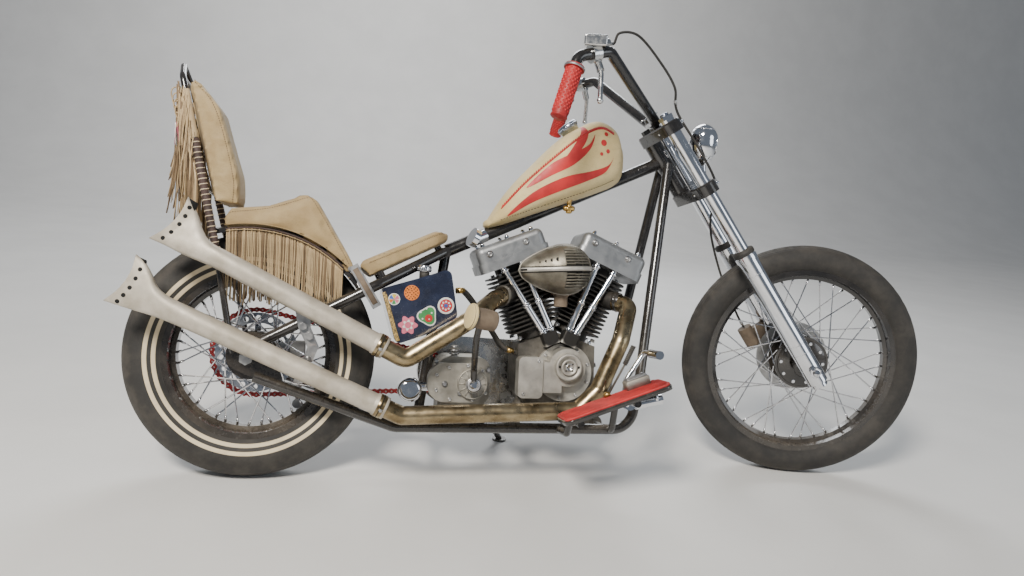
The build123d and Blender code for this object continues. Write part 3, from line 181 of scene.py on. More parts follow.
def leather(name, color, second, grain=420, wear=0.35, bump=0.5, stain=0.25):
    """Hide: pebbled grain from cells, soft two-tone clouds, darker stains and rubbed places."""
    m, t, shader, coords = graph(name)
    cells = put(t, "TexVoronoi", {"Vector": coords, "Scale": grain}, feature="SMOOTH_F1").outputs[0]
    clouds = noise(t, coords, 7, 7.0, 0.65)
    creases = noise(t, coords, 30, 7.0, 0.7, (1.0, 1.0, 2.2))
    base = mix(t, ramp(t, clouds, 0.3, 0.72), color, second)
    base = mix(t, ramp(t, creases, 0.52, 0.75, 0.0, stain), base, scaled(color, 0.45))
    base = mix(t, ramp(t, noise(t, coords, 16, 6.0), 0.6, 0.78, 0.0, wear), base, scaled(second, 1.35))
    base = mix(t, ramp(t, cells, 0.0, 0.5, 0.25, 0.0), base, scaled(color, 0.5))
    height = mul(t, mul(t, cells, 0.6), mul(t, creases, 1.4), "ADD")
    bumps = put(t, "Bump", {"Strength": bump, "Distance": 0.0008, "Height": height}).outputs[0]
    for key, value in (("Base Color", base), ("Roughness", ramp(t, creases, 0.3, 0.7, 0.62, 0.82)),
                       ("Normal", bumps), ("Sheen Weight", 0.12)):
        feed(t, shader.inputs[key], value)
    return m


PALE_CASTING = dict(color=(0.42, 0.40, 0.36), rough=0.5, metal=0.7, vary=0.16, second=(0.56, 0.54, 0.49), dust=0.35,
                    bump=0.4, bump_scale=700)
M = {
    "black": surface("black_enamel", (0.009, 0.009, 0.010), 0.2, coat=0.7, dust=0.35, vary=0.3, scratch=0.05),
    "chrome": surface("chrome_plate", (0.80, 0.81, 0.84), 0.07, metal=1.0, vary=0.06, dust=0.16, scratch=0.06),
    "steel": surface("bare_steel", (0.50, 0.50, 0.50), 0.32, metal=1.0, vary=0.2, dust=0.3, bump=0.15, rust=0.35),
    "cast": surface("blasted_alloy", (0.33, 0.31, 0.265), 0.48, metal=0.75, vary=0.22, dust=0.5, bump=0.5,
                    bump_scale=700, second=(0.47, 0.45, 0.40)),
    "cover": surface("satin_alloy", (0.30, 0.31, 0.32), 0.42, metal=0.8, vary=0.14, dust=0.4, bump=0.25, bump_scale=900),
    "plate": surface("pale_casting", **PALE_CASTING),
    "polished": surface("polished_alloy", (0.66, 0.66, 0.65), 0.2, metal=1.0, vary=0.12, dust=0.35),
    "iron": surface("black_fins", (0.012, 0.012, 0.012), 0.5, metal=0.2, vary=0.3, dust=0.35, bump=0.4, bump_scale=500),
    "bronze": surface("browned_pipe", (0.22, 0.155, 0.075), 0.27, metal=1.0, vary=0.25, vary_scale=12,
                      second=(0.46, 0.37, 0.225), dust=0.25, scratch=0.25, stretch=(1, 1, 1.8)),
    "pale": surface("pale_coating", (0.44, 0.39, 0.31), 0.46, metal=0.3, vary=0.14, second=(0.56, 0.51, 0.43), dust=0.3,
                    bump=0.35, bump_scale=380, scratch=0.1),
    "cleaner": surface("aged_alloy", (0.15, 0.135, 0.105), 0.42, metal=0.8, vary=0.25, second=(0.27, 0.25, 0.20),
                       dust=0.35, bump=0.4, bump_scale=600),
    "sooty": surface("sooty_casting", (0.075, 0.070, 0.062), 0.5, metal=0.6, vary=0.3, second=(0.17, 0.16, 0.14),
                     dust=0.4, bump=0.5, bump_scale=700),
    "brass": surface("brass", (0.62, 0.40, 0.13), 0.3, metal=1.0, vary=0.2, dust=0.2),
    "rubber": surface("black_rubber", (0.022, 0.021, 0.020), 0.6, vary=0.25, dust=0.5, bump=0.4, bump_scale=500),
    # Near black: painted shade in holes, grooves, sockets and hollows, and also the printed dots of the oil tank's ball
    # sticker.
    "dark": surface("shade_and_print_black", (0.004, 0.004, 0.004), 0.9, vary=0.1),
    "navy": surface("navy_enamel", (0.006, 0.011, 0.032), 0.2, coat=0.8, vary=0.3, dust=0.22, scratch=0.04,
                    second=(0.010, 0.019, 0.052)),
    "red_board": surface("red_mat", (0.50, 0.022, 0.024), 0.55, vary=0.3, dust=0.2, bump=0.3, bump_scale=200),
    "red_chain": surface("red_chain", (0.38, 0.016, 0.022), 0.35, metal=0.3, vary=0.3, dust=0.35),
    "red_grip": surface("red_grip", (0.34, 0.014, 0.014), 0.5, vary=0.18, bump=0.3, dust=0.1),
    "red": surface("red_lace", (0.46, 0.020, 0.020), 0.5, vary=0.2, bump=0.3, bump_scale=800),
    "spoke": surface("spoke_steel", (0.72, 0.72, 0.74), 0.16, metal=1.0, vary=0.15, dust=0.25, rust=0.25),
    "ring": surface("blued_ring", (0.30, 0.36, 0.48), 0.26, metal=1.0, vary=0.3, dust=0.25, second=(0.55, 0.58, 0.63)),
    "rim": surface("black_rim", (0.010, 0.010, 0.011), 0.16, coat=0.8, vary=0.3, dust=0.42),
    "mud": surface("dusty_brown", (0.13, 0.095, 0.065), 0.7, vary=0.35, dust=0.5, bump=0.5),
    "gold": surface("gold_flecked_web", (0.035, 0.028, 0.02), 0.6, vary=0.3, second=(0.62, 0.42, 0.14), vary_scale=240),
    "tan": leather("tan_hide", (0.30, 0.205, 0.092), (0.41, 0.30, 0.148)),
    "thong": leather("thong_hide", (0.38, 0.265, 0.135), (0.54, 0.40, 0.225), grain=700, bump=0.35),
    "thong_dark": leather("thong_shade", (0.13, 0.082, 0.040), (0.24, 0.16, 0.085), grain=700, bump=0.35),
    "thread": surface("thread", (0.62, 0.50, 0.34), 0.7, vary=0.2, bump=0.5, bump_scale=1500),
    "cord_dark": surface("dark_cord", (0.05, 0.03, 0.025), 0.7, vary=0.3, bump=0.5, bump_scale=900),
    "cream": leather("cream_hide", (0.60, 0.455, 0.205), (0.72, 0.58, 0.30), grain=520, wear=0.2, bump=0.3, stain=0.3),
    "lens": surface("lamp_glass", (0.70, 0.72, 0.74), 0.08, metal=0.6, vary=0.1),
}
for hue, color, vary in (("pink", (0.55, 0.14, 0.20), 0.3), ("green", (0.05, 0.22, 0.07), 0.3),
                         ("orange", (0.60, 0.17, 0.03), 0.3), ("white", (0.66, 0.66, 0.62), 0.15),
                         ("blue", (0.05, 0.13, 0.42), 0.3), ("yellow", (0.62, 0.45, 0.05), 0.3)):
    M[hue] = surface(hue + "_patch", color, 0.35, vary=vary, coat=0.3)


# Geometry in millimetres
class Kit:
    """Collects mesh parts with their materials, and makes one object of them."""

    def __init__(self):
        self.points, self.faces, self.mats, self.slots, self.smooth, self.count = [], [], [], [], [], 0

    def add(self, points, faces, mat, smooth=True, outward=True):
        """Adds a part; a closed one whose faces point inward is turned."""
        if mat not in self.slots:
            self.slots.append(mat)
        points = np.asarray(points, float)
        if outward:
            q = points - points.mean(0)
            corners = [(f[0], f[k], f[k + 1]) for f in faces for k in range(1, len(f) - 1)]
            a, b, c = (q[[t[k] for t in corners]] for k in range(3))
            volume = np.einsum("ij,ij->", a, np.cross(b, c)) / 6
            if volume < -1e-3 * np.prod(np.ptp(q, axis=0) + 1e-3):
                faces = [tuple(f)[::-1] for f in faces]
        self.points.append(points)
        self.faces += [tuple(int(i) + self.count for i in f) for f in faces]
        self.mats += [self.slots.index(mat)] * len(faces)
        self.smooth += [smooth] * len(faces)
        self.count += len(points)
        return self

    def turn(self, mat, *args, **more):
        """Adds a surface of revolution."""
        self.add(*lathe(*args, **more), mat)

    def tube(self, mat, *args, **more):
        """Adds a round tube along a path."""
        self.add(*sweep(*args, **more), mat)

    def band(self, mat, path, width, thick, hint, twist=0.0):
        """Adds a flat strip along a path."""
        self.add(*sweep(path, 1.0, section=strip(width, thick), hint=hint, twist=twist), mat)

    def make(self, name, body, slot, replaces=(), radii=None):
        pts = np.concatenate(self.points)
        m = np.array(PLACES[body])
        mesh = bpy.data.meshes.new(name)
        mesh.from_pydata((pts @ m[:3, :3].T + m[:3, 3]).tolist(), [], self.faces)
        for s in self.slots:
            mesh.materials.append(M[s])
        mesh.polygons.foreach_set("material_index", self.mats)
        mesh.polygons.foreach_set("use_smooth", self.smooth)
        if radii:
            mesh.attributes.new("wheel_r", "FLOAT", "POINT").data.foreach_set("value", np.asarray(radii, np.float32))
        mesh.validate()
        mesh.update()
        o = bpy.data.objects.new(name, mesh)
        scene.collection.objects.link(o)
        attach(o, body)
        if replaces:
            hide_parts(*replaces)
        return o


def around(n):
    """Angles of n even steps round a circle."""
    return np.linspace(0, 2 * pi, n, endpoint=False)


def basis(axis, hint=None):
    """An axis and two unit vectors across it."""
    a = Vector(axis).normalized()
    h = Vector(hint) if hint else (UP if abs(a.z) < 0.9 else AHEAD)
    u = (h - a * h.dot(a)).normalized()
    return a, u, a.cross(u)


def grid_faces(rows, cols, wrap_rows=False, wrap_cols=True):
    faces = []
    for i in range(rows if wrap_rows else rows - 1):
        for j in range(cols if wrap_cols else cols - 1):
            a, b, ahead, over = i * cols, (i + 1) % rows * cols, j, (j + 1) % cols
            faces.append((a + ahead, a + over, b + over, b + ahead))
    return faces


def end_faces(rows, cols):
    return [tuple(range(cols))[::-1], tuple((rows - 1) * cols + k for k in range(cols))]


MIN_R = 0.01  # the least radius of a turned ring, so that none shrinks to a point


def lathe(profile, origin, axis, seg=32, closed=False):
    """Surface of revolution; the profile is pairs of radius and height along the axis."""
    a, u, v = basis(axis)
    t = around(seg)
    ring = np.outer(np.cos(t), u) + np.outer(np.sin(t), v)
    pts = np.concatenate([np.array(origin, float) + np.array(a) * h + ring * (r or MIN_R) for r, h in profile])
    faces = [f[::-1] for f in grid_faces(len(profile), seg, wrap_rows=closed)]
    return pts, faces if closed else faces + end_faces(len(profile), seg)


def hermite(s, p, p_way, q, q_way):
    """Point a part of the way along the curve from p to q, given the ways it leaves and arrives."""
    return ((2 * s**3 - 3 * s**2 + 1) * p + (s**3 - 2 * s**2 + s) * p_way
            + (-2 * s**3 + 3 * s**2) * q + (s**3 - s**2) * q_way)


def smooth_path(points, n=60):
    """Points along a smooth curve through the given ones."""
    p = [np.array(q, float) for q in points]
    p = [2 * p[0] - p[1]] + p + [2 * p[-1] - p[-2]]
    per = max(2, n // (len(p) - 3))
    out = [hermite(k / per, p[i], (p[i + 1] - p[i - 1]) / 2, p[i + 1], (p[i + 2] - p[i]) / 2)
           for i in range(1, len(p) - 2) for k in range(per)]
    return np.array(out + [p[-2]])


def side_path(points, n):
    """Smooth path through points given in x and z."""
    return smooth_path([(x, 0, z) for x, z in points], n)


def travel(line):
    """Distance along a line at each of its points."""
    return np.concatenate([[0], np.cumsum(np.linalg.norm(np.diff(line, axis=0), axis=1))])


def sweep(path, radius, sides=12, section=None, hint=None, closed=False, twist=0.0):
    """Tube or strip along a path; section is a closed outline instead of a circle."""
    path = np.asarray(path, float)
    n = len(path)
    if section is None:
        section = [(cos(a), sin(a)) for a in around(sides)]
    section = np.asarray(section, float)
    tangents = np.gradient(path, axis=0) if not closed else np.roll(path, -1, 0) - np.roll(path, 1, 0)
    tangents /= np.linalg.norm(tangents, axis=1, keepdims=True) + 1e-12
    u = np.array(basis(tangents[0], hint)[1])
    pts = []
    for i in range(n):
        u = np.array(hint, float) if hint is not None else u
        u = u - tangents[i] * (u @ tangents[i])
        u /= np.linalg.norm(u)
        v = np.cross(tangents[i], u)
        a = twist * i / n
        cu, cv = u * cos(a) + v * sin(a), -u * sin(a) + v * cos(a)
        pts.append(path[i] + radius * (np.outer(section[:, 0], cu) + np.outer(section[:, 1], cv)))
    faces = grid_faces(n, len(section), wrap_rows=closed)
    return np.concatenate(pts), faces if closed else faces + end_faces(n, len(section))


def strip(width, thick):
    """Outline of a flat strip's section, slightly rounded."""
    w, h = width / 2, thick / 2
    half = [(w, h * 0.5), (w * 0.9, h), (-w * 0.9, h), (-w, h * 0.5)]
    return half + [(-x, -y) for x, y in half]


def loft(rings, cap=True):
    rings = [np.asarray(r, float) for r in rings]
    faces = grid_faces(len(rings), len(rings[0]))
    return np.concatenate(rings), faces + end_faces(len(rings), len(rings[0])) if cap else faces


def rounded(w, h, r, n=5):
    """Rounded rectangle outline about the origin, counter-clockwise."""
    out = []
    for quarter, (sx, sy) in enumerate(((1, 1), (-1, 1), (-1, -1), (1, -1))):
        for a in radians(90) * (quarter + np.arange(n + 1) / n):
            out.append((sx * (w / 2 - r) + r * cos(a), sy * (h / 2 - r) + r * sin(a)))
    return out


def plate(outline, origin, axis, thick, edge, hint):
    """Flat plate with a small bevel, its outline across the axis; it rises from the origin along the axis."""
    a, u, v = basis(axis, hint)
    outline = np.asarray(outline, float)
    mid = outline.mean(0)
    top = 1 - edge / np.abs(outline - mid).max()
    rings = []
    for scale, h in ((1, 0), (1, thick - edge), (top, thick)):
        q = mid + (outline - mid) * scale
        rings.append(np.array(origin) + np.outer(q[:, 0], u) + np.outer(q[:, 1], v) + np.array(a) * h)
    return loft(rings)


def hexbolt(kit, at, way, r=6.0, h=4.5, mat="steel"):
    """Hexagonal head on a washer."""
    kit.turn(mat, [(0, 0), (r * 1.35, 0), (r * 1.35, 1.0), (0, 1.3)], at, way, 18)
    a, u, v = basis(way)
    rings = [[Vector(at) + a * up + (u * cos(t) + v * sin(t)) * across for t in around(6)]
             for across, up in ((r, 0.8), (r, h), (r * 0.82, h + 1.2), (r * 0.2, h + 1.3))]
    kit.add(*loft(rings), mat, smooth=False)


def acorn(kit, at, way, r=6.0):
    """Domed nut."""
    hexbolt(kit, at, way, r, r * 0.8, "chrome")
    kit.turn("chrome", [(r * 0.8, r * 0.8), (r * 0.78, r * 1.15), (r * 0.55, r * 1.6), (0, r * 1.78)], at, way, 16)


def socket_screw(kit, at, way, r=4.5, mat="steel"):
    profile = ((0, 0), (1, 0), (1, 0.8), (0.85, 1), (0.5, 1), (0.5, 0.45), (0, 0.4))
    kit.turn(mat, [(x * r, h * r) for x, h in profile], at, way, 14)


def leg(t, y=0.0, ahead=0.0):
    """Point t up the fork legs from the axle."""
    return Vector(FRONT_AXLE) + Vector((0, y, 0)) + STEM_DIR * t + Vector((C, 0, S)) * ahead


# Tyres, with grooved treads and raised rings on the side walls
def tyre_material(name, walls, tread_r):
    """Dusty rubber; walls are pairs of radii between which the side wall is cream."""
    m, t, shader, coords = graph(name)
    r = put(t, "Attribute", attribute_name="wheel_r").outputs["Fac"]
    dusty = ramp(t, noise(t, coords, 14, 8.0, 0.7), 0.35, 0.7, 0.15, 0.85)
    base = mix(t, dusty, (0.015, 0.0145, 0.014), (0.050, 0.044, 0.037))
    tread = ramp(t, r, tread_r, tread_r + 0.02)
    base = mix(t, mul(t, tread, mul(t, dusty, 0.7)), base, (0.078, 0.068, 0.056))
    for lo, hi in walls:
        band = mul(t, ramp(t, r, lo, lo + 0.0012), ramp(t, r, hi - 0.0012, hi, 1.0, 0.0))
        band = mul(t, band, ramp(t, noise(t, coords, 22, 6.0), 0.25, 0.6, 0.82, 1.0))
        base = mix(t, band, base, (0.72, 0.60, 0.40))
    bumps = put(t, "Bump", {"Strength": 0.35, "Distance": 0.0008, "Height": noise(t, coords, 260, 5.0)}).outputs[0]
    for key, value in (("Base Color", base), ("Roughness", 0.72), ("Normal", bumps)):
        feed(t, shader.inputs[key], value)
    return m


def arc(points, n):
    """Points on the circle through three, from the first to the last; no half of it passes 180 degrees."""
    a, b, c = (np.array(q, float) for q in points)
    square = np.array((a @ a, b @ b, c @ c))
    x, y = np.stack([a, b, c], 1)
    over = 2 * (x @ (np.roll(y, -1) - np.roll(y, 1)))
    o = np.array((square @ (np.roll(y, -1) - np.roll(y, 1)), square @ (np.roll(x, 1) - np.roll(x, -1)))) / over
    start, _, stop = np.unwrap([atan2(*(q - o)[::-1]) for q in (a, b, c)])
    return [tuple(o + np.linalg.norm(a - o) * np.array((cos(t), sin(t)))) for t in np.linspace(start, stop, n)]


TYRE_STEPS, WALL_RING = 240, (14, 2, 0.7)  # the raised ring's height over the widest place, half width and rise


def tyre(name, body, centre, tyre_r, tyre_w, rim_r, rim_w, grooves, sipes, walls, tread_r):
    half = tyre_w / 2
    bead, bulge, shoulder = (rim_w / 2, rim_r + 0.4), (half, (rim_r + tyre_r) / 2), (half * 0.72, tyre_r - half * 0.22)
    side = arc((bead, bulge, shoulder), 22)
    crown = arc((shoulder, (0, tyre_r), (-shoulder[0], shoulder[1])), 61)
    outline = side[:-1] + crown + [(-y, r) for y, r in side[-2::-1]]
    section = [(rim_w / 2 - 6, rim_r - 9)] + outline + [(-rim_w / 2 + 6, rim_r - 9)]
    pts, radii = [], []
    for k, a in enumerate(around(TYRE_STEPS)):
        for y, r in section:
            depth = 0.0
            if r > shoulder[1] - 2:
                cuts = [d for g, w, d in grooves if abs(abs(y) - g) - w / 2 < 0]
                cuts += [d for lo, hi, every, d in sipes if lo < abs(y) < hi and (k + (y > 0) * (every // 2)) % every == 0]
                depth = max(cuts, default=0.0)
            elif abs(r - bulge[1] - WALL_RING[0]) < WALL_RING[1]:
                depth = -WALL_RING[2]
            pts.append((centre[0] + (r - depth) * cos(a), y, centre[2] + (r - depth) * sin(a)))
            radii.append((r - depth) / 1000)
    M[name] = tyre_material(name + "_rubber", walls, tread_r)
    faces = [f[::-1] for f in grid_faces(TYRE_STEPS, len(section), wrap_rows=True, wrap_cols=False)]
    Kit().add(pts, faces, name).make(name + "_dressed", body, "tyre", [name], radii)


tyre("rear_tyre", "rear_wheel", REAR_AXLE, REAR_R, 130, 216, 96, [(5, 2.6, 3), (16, 2.6, 3), (28, 3, 3), (39, 3, 3)],
     [(9, 13, 3, 1.8), (20, 25, 3, 1.8)], ((0.2255, 0.2360), (0.2445, 0.2560)), 0.275)
tyre("front_tyre", "front_wheel", FRONT_AXLE, FRONT_R, 90, 280, 62, [(6, 2.4, 3), (17, 2.4, 3), (27, 2.2, 2.4)],
     [(8.5, 15, 4, 2.0), (19, 25, 4, 1.8)], (), 0.325)

# Wheel details: spoke nipples, flange bolts and hub caps
SPOKES, CROSSING, WELL_IN = 40, radians(60), 29
for body, centre, rim_r, rim_w, flange_r, flange_y, bolts, cap_y, cap_mat in (
        ("rear_wheel", REAR_AXLE, 216, 96, 62, 39, 0, 60, "steel"),
        ("front_wheel", FRONT_AXLE, 280, 62, 79, 35, 10, 68, "black")):
    kit = Kit()
    centre = Vector(centre)
    for i, end in enumerate(around(SPOKES)):
        side, way = (1 if i % 2 else -1), (1 if (i // 2) % 2 else -1)
        start = end + way * CROSSING
        root = np.array((flange_r * cos(start), side * (flange_y - 2.5 + way * 2.4), flange_r * sin(start)))
        tip = np.array(((rim_r - WELL_IN) * cos(end), side * (rim_w / 10 + way * 2.4), (rim_r - WELL_IN) * sin(end)))
        d = (root - tip) / np.linalg.norm(root - tip)
        kit.turn("spoke", [(0, -1), (3.4, -1), (3.4, 9), (2.6, 15), (0, 15)], np.array(centre) + tip + d * 1.5, d, 8)
    for a in around(bolts):
        hexbolt(kit, centre + Vector((62 * cos(a), -flange_y, 62 * sin(a))), RIGHT, 6, 4, "chrome")
    kit.turn(cap_mat, [(0, -0.2), (34, -0.2), (37, 3), (37, 8), (30, 11), (0, 11)], centre + RIGHT * cap_y, RIGHT, 32)
    if body == "front_wheel":
        kit.turn("rim", [(8, 0), (70, 0), (72, 1.5), (70, 3), (8, 3)], centre + RIGHT * flange_y, RIGHT, 48)
    kit.make(body + "_nipples", body, "spoke_steel")

# Drive chain of real links round the two sprockets: centre in x and z, and radius
kit = Kit()
BIG, SMALL, PITCH_MM, CHAIN_Y, LINK_R, WAIST = (0.0, REAR_R, 117.0), (520.0, 270.0, 46.0), 15.875, 86, 7.2, 4.4
gap = Vector((SMALL[0] - BIG[0], SMALL[1] - BIG[1]))
tilt, spread = atan2(gap.y, gap.x), np.arccos((BIG[2] - SMALL[2]) / gap.length)
line = []
for (cx, cz, r), a0, a1 in ((BIG, tilt + spread, tilt - spread + 2 * pi), (SMALL, tilt - spread, tilt + spread)):
    line += [(cx + r * cos(a), cz + r * sin(a)) for a in np.linspace(a0, a1, max(2, int(abs(a1 - a0) * r / 2)))]
line = np.array(line + line[:1])
run = travel(line)
count = int(round(run[-1] / PITCH_MM / 2) * 2)
pins = np.stack([np.interp(np.linspace(0, run[-1], count, endpoint=False), run, line[:, k]) for k in (0, 1)], 1)
link = [(cos(a) * LINK_R, sin(a) * LINK_R) for a in np.linspace(pi / 2, 3 * pi / 2, 13)]
for i in range(count):
    a, b = pins[i], pins[(i + 1) % count]
    length = np.linalg.norm(b - a)
    way = (b - a) / length
    cross = np.array((-way[1], way[0]))
    shape = link + [(length / 2, -WAIST)] + [(length - x, -z) for x, z in link] + [(length / 2, WAIST)]
    shape = [a + way * x + cross * z for x, z in shape]
    for side in (-1, 1):
        y = CHAIN_Y + side * (5.2 if i % 2 else 7.3)
        rings = [[(x, y + dy, z) for x, z in shape] for dy in (-0.9, 0.9)]
        kit.add(*loft(rings), "red_chain", smooth=False)
    pin = (a[0], CHAIN_Y, a[1])
    kit.turn("steel", [(0, -8.8), (2.6, -8.8), (2.6, 8.8), (0, 8.8)], pin, (0, 1, 0), 8)
    kit.turn("red_chain", [(5.0, -4.4), (5.0, 4.4)], pin, (0, 1, 0), 10)
kit.make("chain_links", "chassis", "red_chain", ["drive_chain"])

# Fuel tank: a smooth hide-covered shell through the solid's sections, each of x, foot, crown and half width
TANK = ((612, 690, 716, 34), (655, 704, 786, 74), (740, 738, 888, 104), (840, 778, 982, 112), (920, 810, 1016, 104),
        (968, 832, 994, 80), (988, 846, 960, 52))
TANK_RINGS, TANK_SIDES, TANK_HALF = 64, 72, 112


def squared(v, power):
    """Cosines or sines drawn out toward the corners of a box; a power of 2 leaves them round."""
    return np.sign(v) * np.abs(v) ** (2 / power)


def tank_rings():
    keys = np.array(TANK, float)
    s = travel(keys[:, [0, 2]])
    slope = np.gradient(keys, s, axis=0)
    t = around(TANK_SIDES)
    rings = []
    for q in np.linspace(0, s[-1], TANK_RINGS):
        k = min(len(s) - 2, int(np.searchsorted(s, q, "right") - 1))
        h = s[k + 1] - s[k]
        x, lo, hi, half = hermite((q - s[k]) / h, keys[k], h * slope[k], keys[k + 1], h * slope[k + 1])
        power = 2 + half / TANK_HALF
        rings.append(np.stack([np.full(TANK_SIDES, x), half * squared(np.cos(t), power),
                               (lo + hi) / 2 + (hi - lo) / 2 * squared(np.sin(t), power)], 1))
    noses = []
    for end, sign in ((0, -1), (-1, 1)):
        mid = rings[end].mean(0)
        noses.append([mid + (rings[end] - mid) * f + np.array((sign * push, 0, 0))
                      for f, push in ((0.85, 5.0), (0.6, 9.0), (0.25, 11.0))])
    return noses[0][::-1] + rings + noses[1]


def tree_of(points, faces):
    return BVHTree.FromPolygons([Vector(p) for p in points], [list(f) for f in faces])


def meet(tree, x, z, side, start):
    """Where a ray along y meets a surface, and the outward direction there."""
    hit, normal, _, _ = tree.ray_cast(Vector((x, start, z)), Vector((0, -side, 0)))
    return hit, (normal if hit is None or normal.y * side > 0 else -normal)


def onto(tree, x, z, side, lift):
    """Point on a surface's side seen along y, lifted off it."""
    hit, normal = meet(tree, x, z, side, side * 600)
    return None if hit is None else hit + normal * lift


def along_surface(tree, path, side, lift, drop=0.0):
    """A path laid on a surface's side, without the points that miss it."""
    placed = [onto(tree, q[0], q[2] - drop, side, lift) for q in path]
    return [np.array(p) for p in placed if p is not None]


def decal(kit, outline, side, tree, lift, mat, step=7.0):
    """Thin patch with a given outline in x and z, laid on the surface."""
    count, (xs, zs) = len(outline), zip(*outline)
    pts = [Vector(p) for p in outline]
    pts += [Vector((x, z)) for x in np.arange(min(xs) + step / 2, max(xs), step)
            for z in np.arange(min(zs) + step / 2, max(zs), step)]
    edges = [(i, (i + 1) % count) for i in range(count)]
    verts, _, faces = geometry.delaunay_2d_cdt(pts, edges, [list(range(count))], 1, 0.01)[:3]
    placed = [onto(tree, v[0], v[1], side, lift) for v in verts]
    keep = [f if side < 0 else f[::-1] for f in faces if all(placed[i] is not None for i in f)]
    kit.add([p if p is not None else (0, 0, 0) for p in placed], keep, mat, outward=False)


def leaf_outline(points, n=7):
    """Smooth closed outline through points in x and z."""
    p = np.array(points, float)
    out = []
    for a, b, c, d in zip(np.roll(p, 1, 0), p, np.roll(p, -1, 0), np.roll(p, -2, 0)):
        for s in np.arange(n) / n:
            out.append(tuple(0.5 * (2 * b + (c - a) * s + (2 * a - 5 * b + 4 * c - d) * s * s
                                    + (3 * b - a - 3 * c + d) * s**3)))
    return out


# Red swept leaves, round studs, a laced seam along the crown and a stitched one along the foot
LEAVES = (
    [(655, 722), (720, 762), (800, 800), (872, 832), (924, 862), (948, 908), (930, 880), (880, 858), (800, 834), (716, 786)],
    [(700, 800), (768, 838), (828, 872), (872, 918), (886, 962), (868, 930), (822, 902), (764, 868)],
    [(800, 880), (846, 915), (868, 962), (858, 990), (846, 958), (822, 918)],
)
STUDS = ((912, 940, 9), (926, 918, 6), (906, 908, 5), (920, 966, 6))
crown = side_path([(640, 758), (700, 830), (780, 908), (850, 968), (905, 996), (950, 985)], 70)
foot = side_path([(640, 712), (720, 744), (820, 784), (910, 822), (958, 846)], 90)
tank_points, tank_faces = loft(tank_rings())
tank_tree = tree_of(tank_points, tank_faces)
kit = Kit().add(tank_points, tank_faces, "cream")
for side in (-1, 1):
    for leaf in LEAVES:
        decal(kit, leaf_outline(leaf), side, tank_tree, 0.7, "red")
    for x, z, r in STUDS:
        decal(kit, [(x + r * cos(a), z + r * sin(a)) for a in around(20)], side, tank_tree, 0.8, "red", 3.0)
    placed = along_surface(tank_tree, crown, side, 0.8, drop=16)
    up = np.array((0, -side * 0.5, 1.0))
    for a, b in zip(placed[:-2], placed[1:]):
        kit.tube("red", [a, (a + b) / 2 + up * 2, b + up * 7], 1.5, 6)
    kit.tube("red", smooth_path(placed[::3], 80), 1.3, 6)
    for i in range(0, len(foot) - 1, 2):
        stitch = along_surface(tank_tree, foot[i:i + 2], side, 0.9)
        if len(stitch) == 2:
            kit.tube("cord_dark", stitch, 0.9, 5)
kit.make("tank_shell", "chassis", "tank_leather", ["fuel_tank"])

# Soft pads, swelled by a short cloth simulation inside the solid's space
VOXEL, PRESSURE, STIFFNESS, CLOTH_FRAMES, STILL_SWELL = 0.006, 4.0, 25, 20, 0.8


def read_vertices(mesh, key, kind=float):
    values = np.zeros(len(mesh.vertices) * 3, kind)
    mesh.vertices.foreach_get(key, values)
    return values.reshape(-1, 3)


def apply_modifier(o, kind, **settings):
    modifier = o.modifiers.new(kind.lower(), kind)
    for key, value in settings.items():
        setattr(modifier, key, value)
    bpy.ops.object.modifier_apply(modifier=modifier.name)


def soft_pad(node, mat, shrink, cap):
    """Pad shrunk from its solid and swelled again by at most the cap; returns its surface for the stitches."""
    o = bpy.data.objects.new(node + "_pad", frame["nodes"][node].data.copy())
    scene.collection.objects.link(o)
    o.data.materials.clear()
    bpy.context.view_layer.objects.active = o
    for other in bpy.context.selected_objects:
        other.select_set(False)
    o.select_set(True)
    apply_modifier(o, "REMESH", mode="VOXEL", voxel_size=VOXEL, adaptivity=0.0)
    apply_modifier(o, "LAPLACIANSMOOTH", iterations=6, lambda_factor=0.5)
    normals = read_vertices(o.data, "normal", np.float32)
    co = read_vertices(o.data, "co") - normals * shrink
    o.data.vertices.foreach_set("co", co.ravel())
    o.data.update()
    cloth = o.modifiers.new("cloth", "CLOTH")
    cs = cloth.settings
    cs.quality, cs.mass, cs.use_pressure, cs.uniform_pressure_force = 5, 0.3, True, PRESSURE
    cs.tension_stiffness = cs.compression_stiffness = cs.shear_stiffness = STIFFNESS
    cs.bending_stiffness = 3.0
    cs.effector_weights.gravity = 0.0
    cloth.collision_settings.use_collision = False
    cloth.point_cache.frame_start, cloth.point_cache.frame_end = 1, CLOTH_FRAMES
    for f in range(1, CLOTH_FRAMES + 1):
        scene.frame_set(f)
    move = read_vertices(o.evaluated_get(bpy.context.evaluated_depsgraph_get()).data, "co") - co
    o.modifiers.remove(cloth)
    scene.frame_set(1)
    length = np.linalg.norm(move, axis=1, keepdims=True)
    co = co + move * np.minimum(1.0, cap / np.maximum(length, 1e-9))
    o.data.vertices.foreach_set("co", co.ravel())
    o.data.polygons.foreach_set("use_smooth", [True] * len(o.data.polygons))
    o.data.materials.append(M[mat])
    o.data.update()
    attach(o, "chassis")
    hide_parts(node)
    inverse = np.array(BODY.inverted())
    return tree_of(co @ inverse[:3, :3].T + inverse[:3, 3], [p.vertices for p in o.data.polygons])


def stitches(kit, tree, points, side, pitch, size=0.8):
    """Row of short stitches along a line of x and z, laid on the surface seen along y."""
    path = side_path(points, 200)
    run = travel(path)
    for i in range(int(run[-1] / pitch)):
        ends = [onto(tree, np.interp(d, run, path[:, 0]), np.interp(d, run, path[:, 2]), side, 0.2)
                for d in (i * pitch, (i + 0.55) * pitch)]
        if None not in ends:
            kit.tube("cord_dark", ends, size, 5)


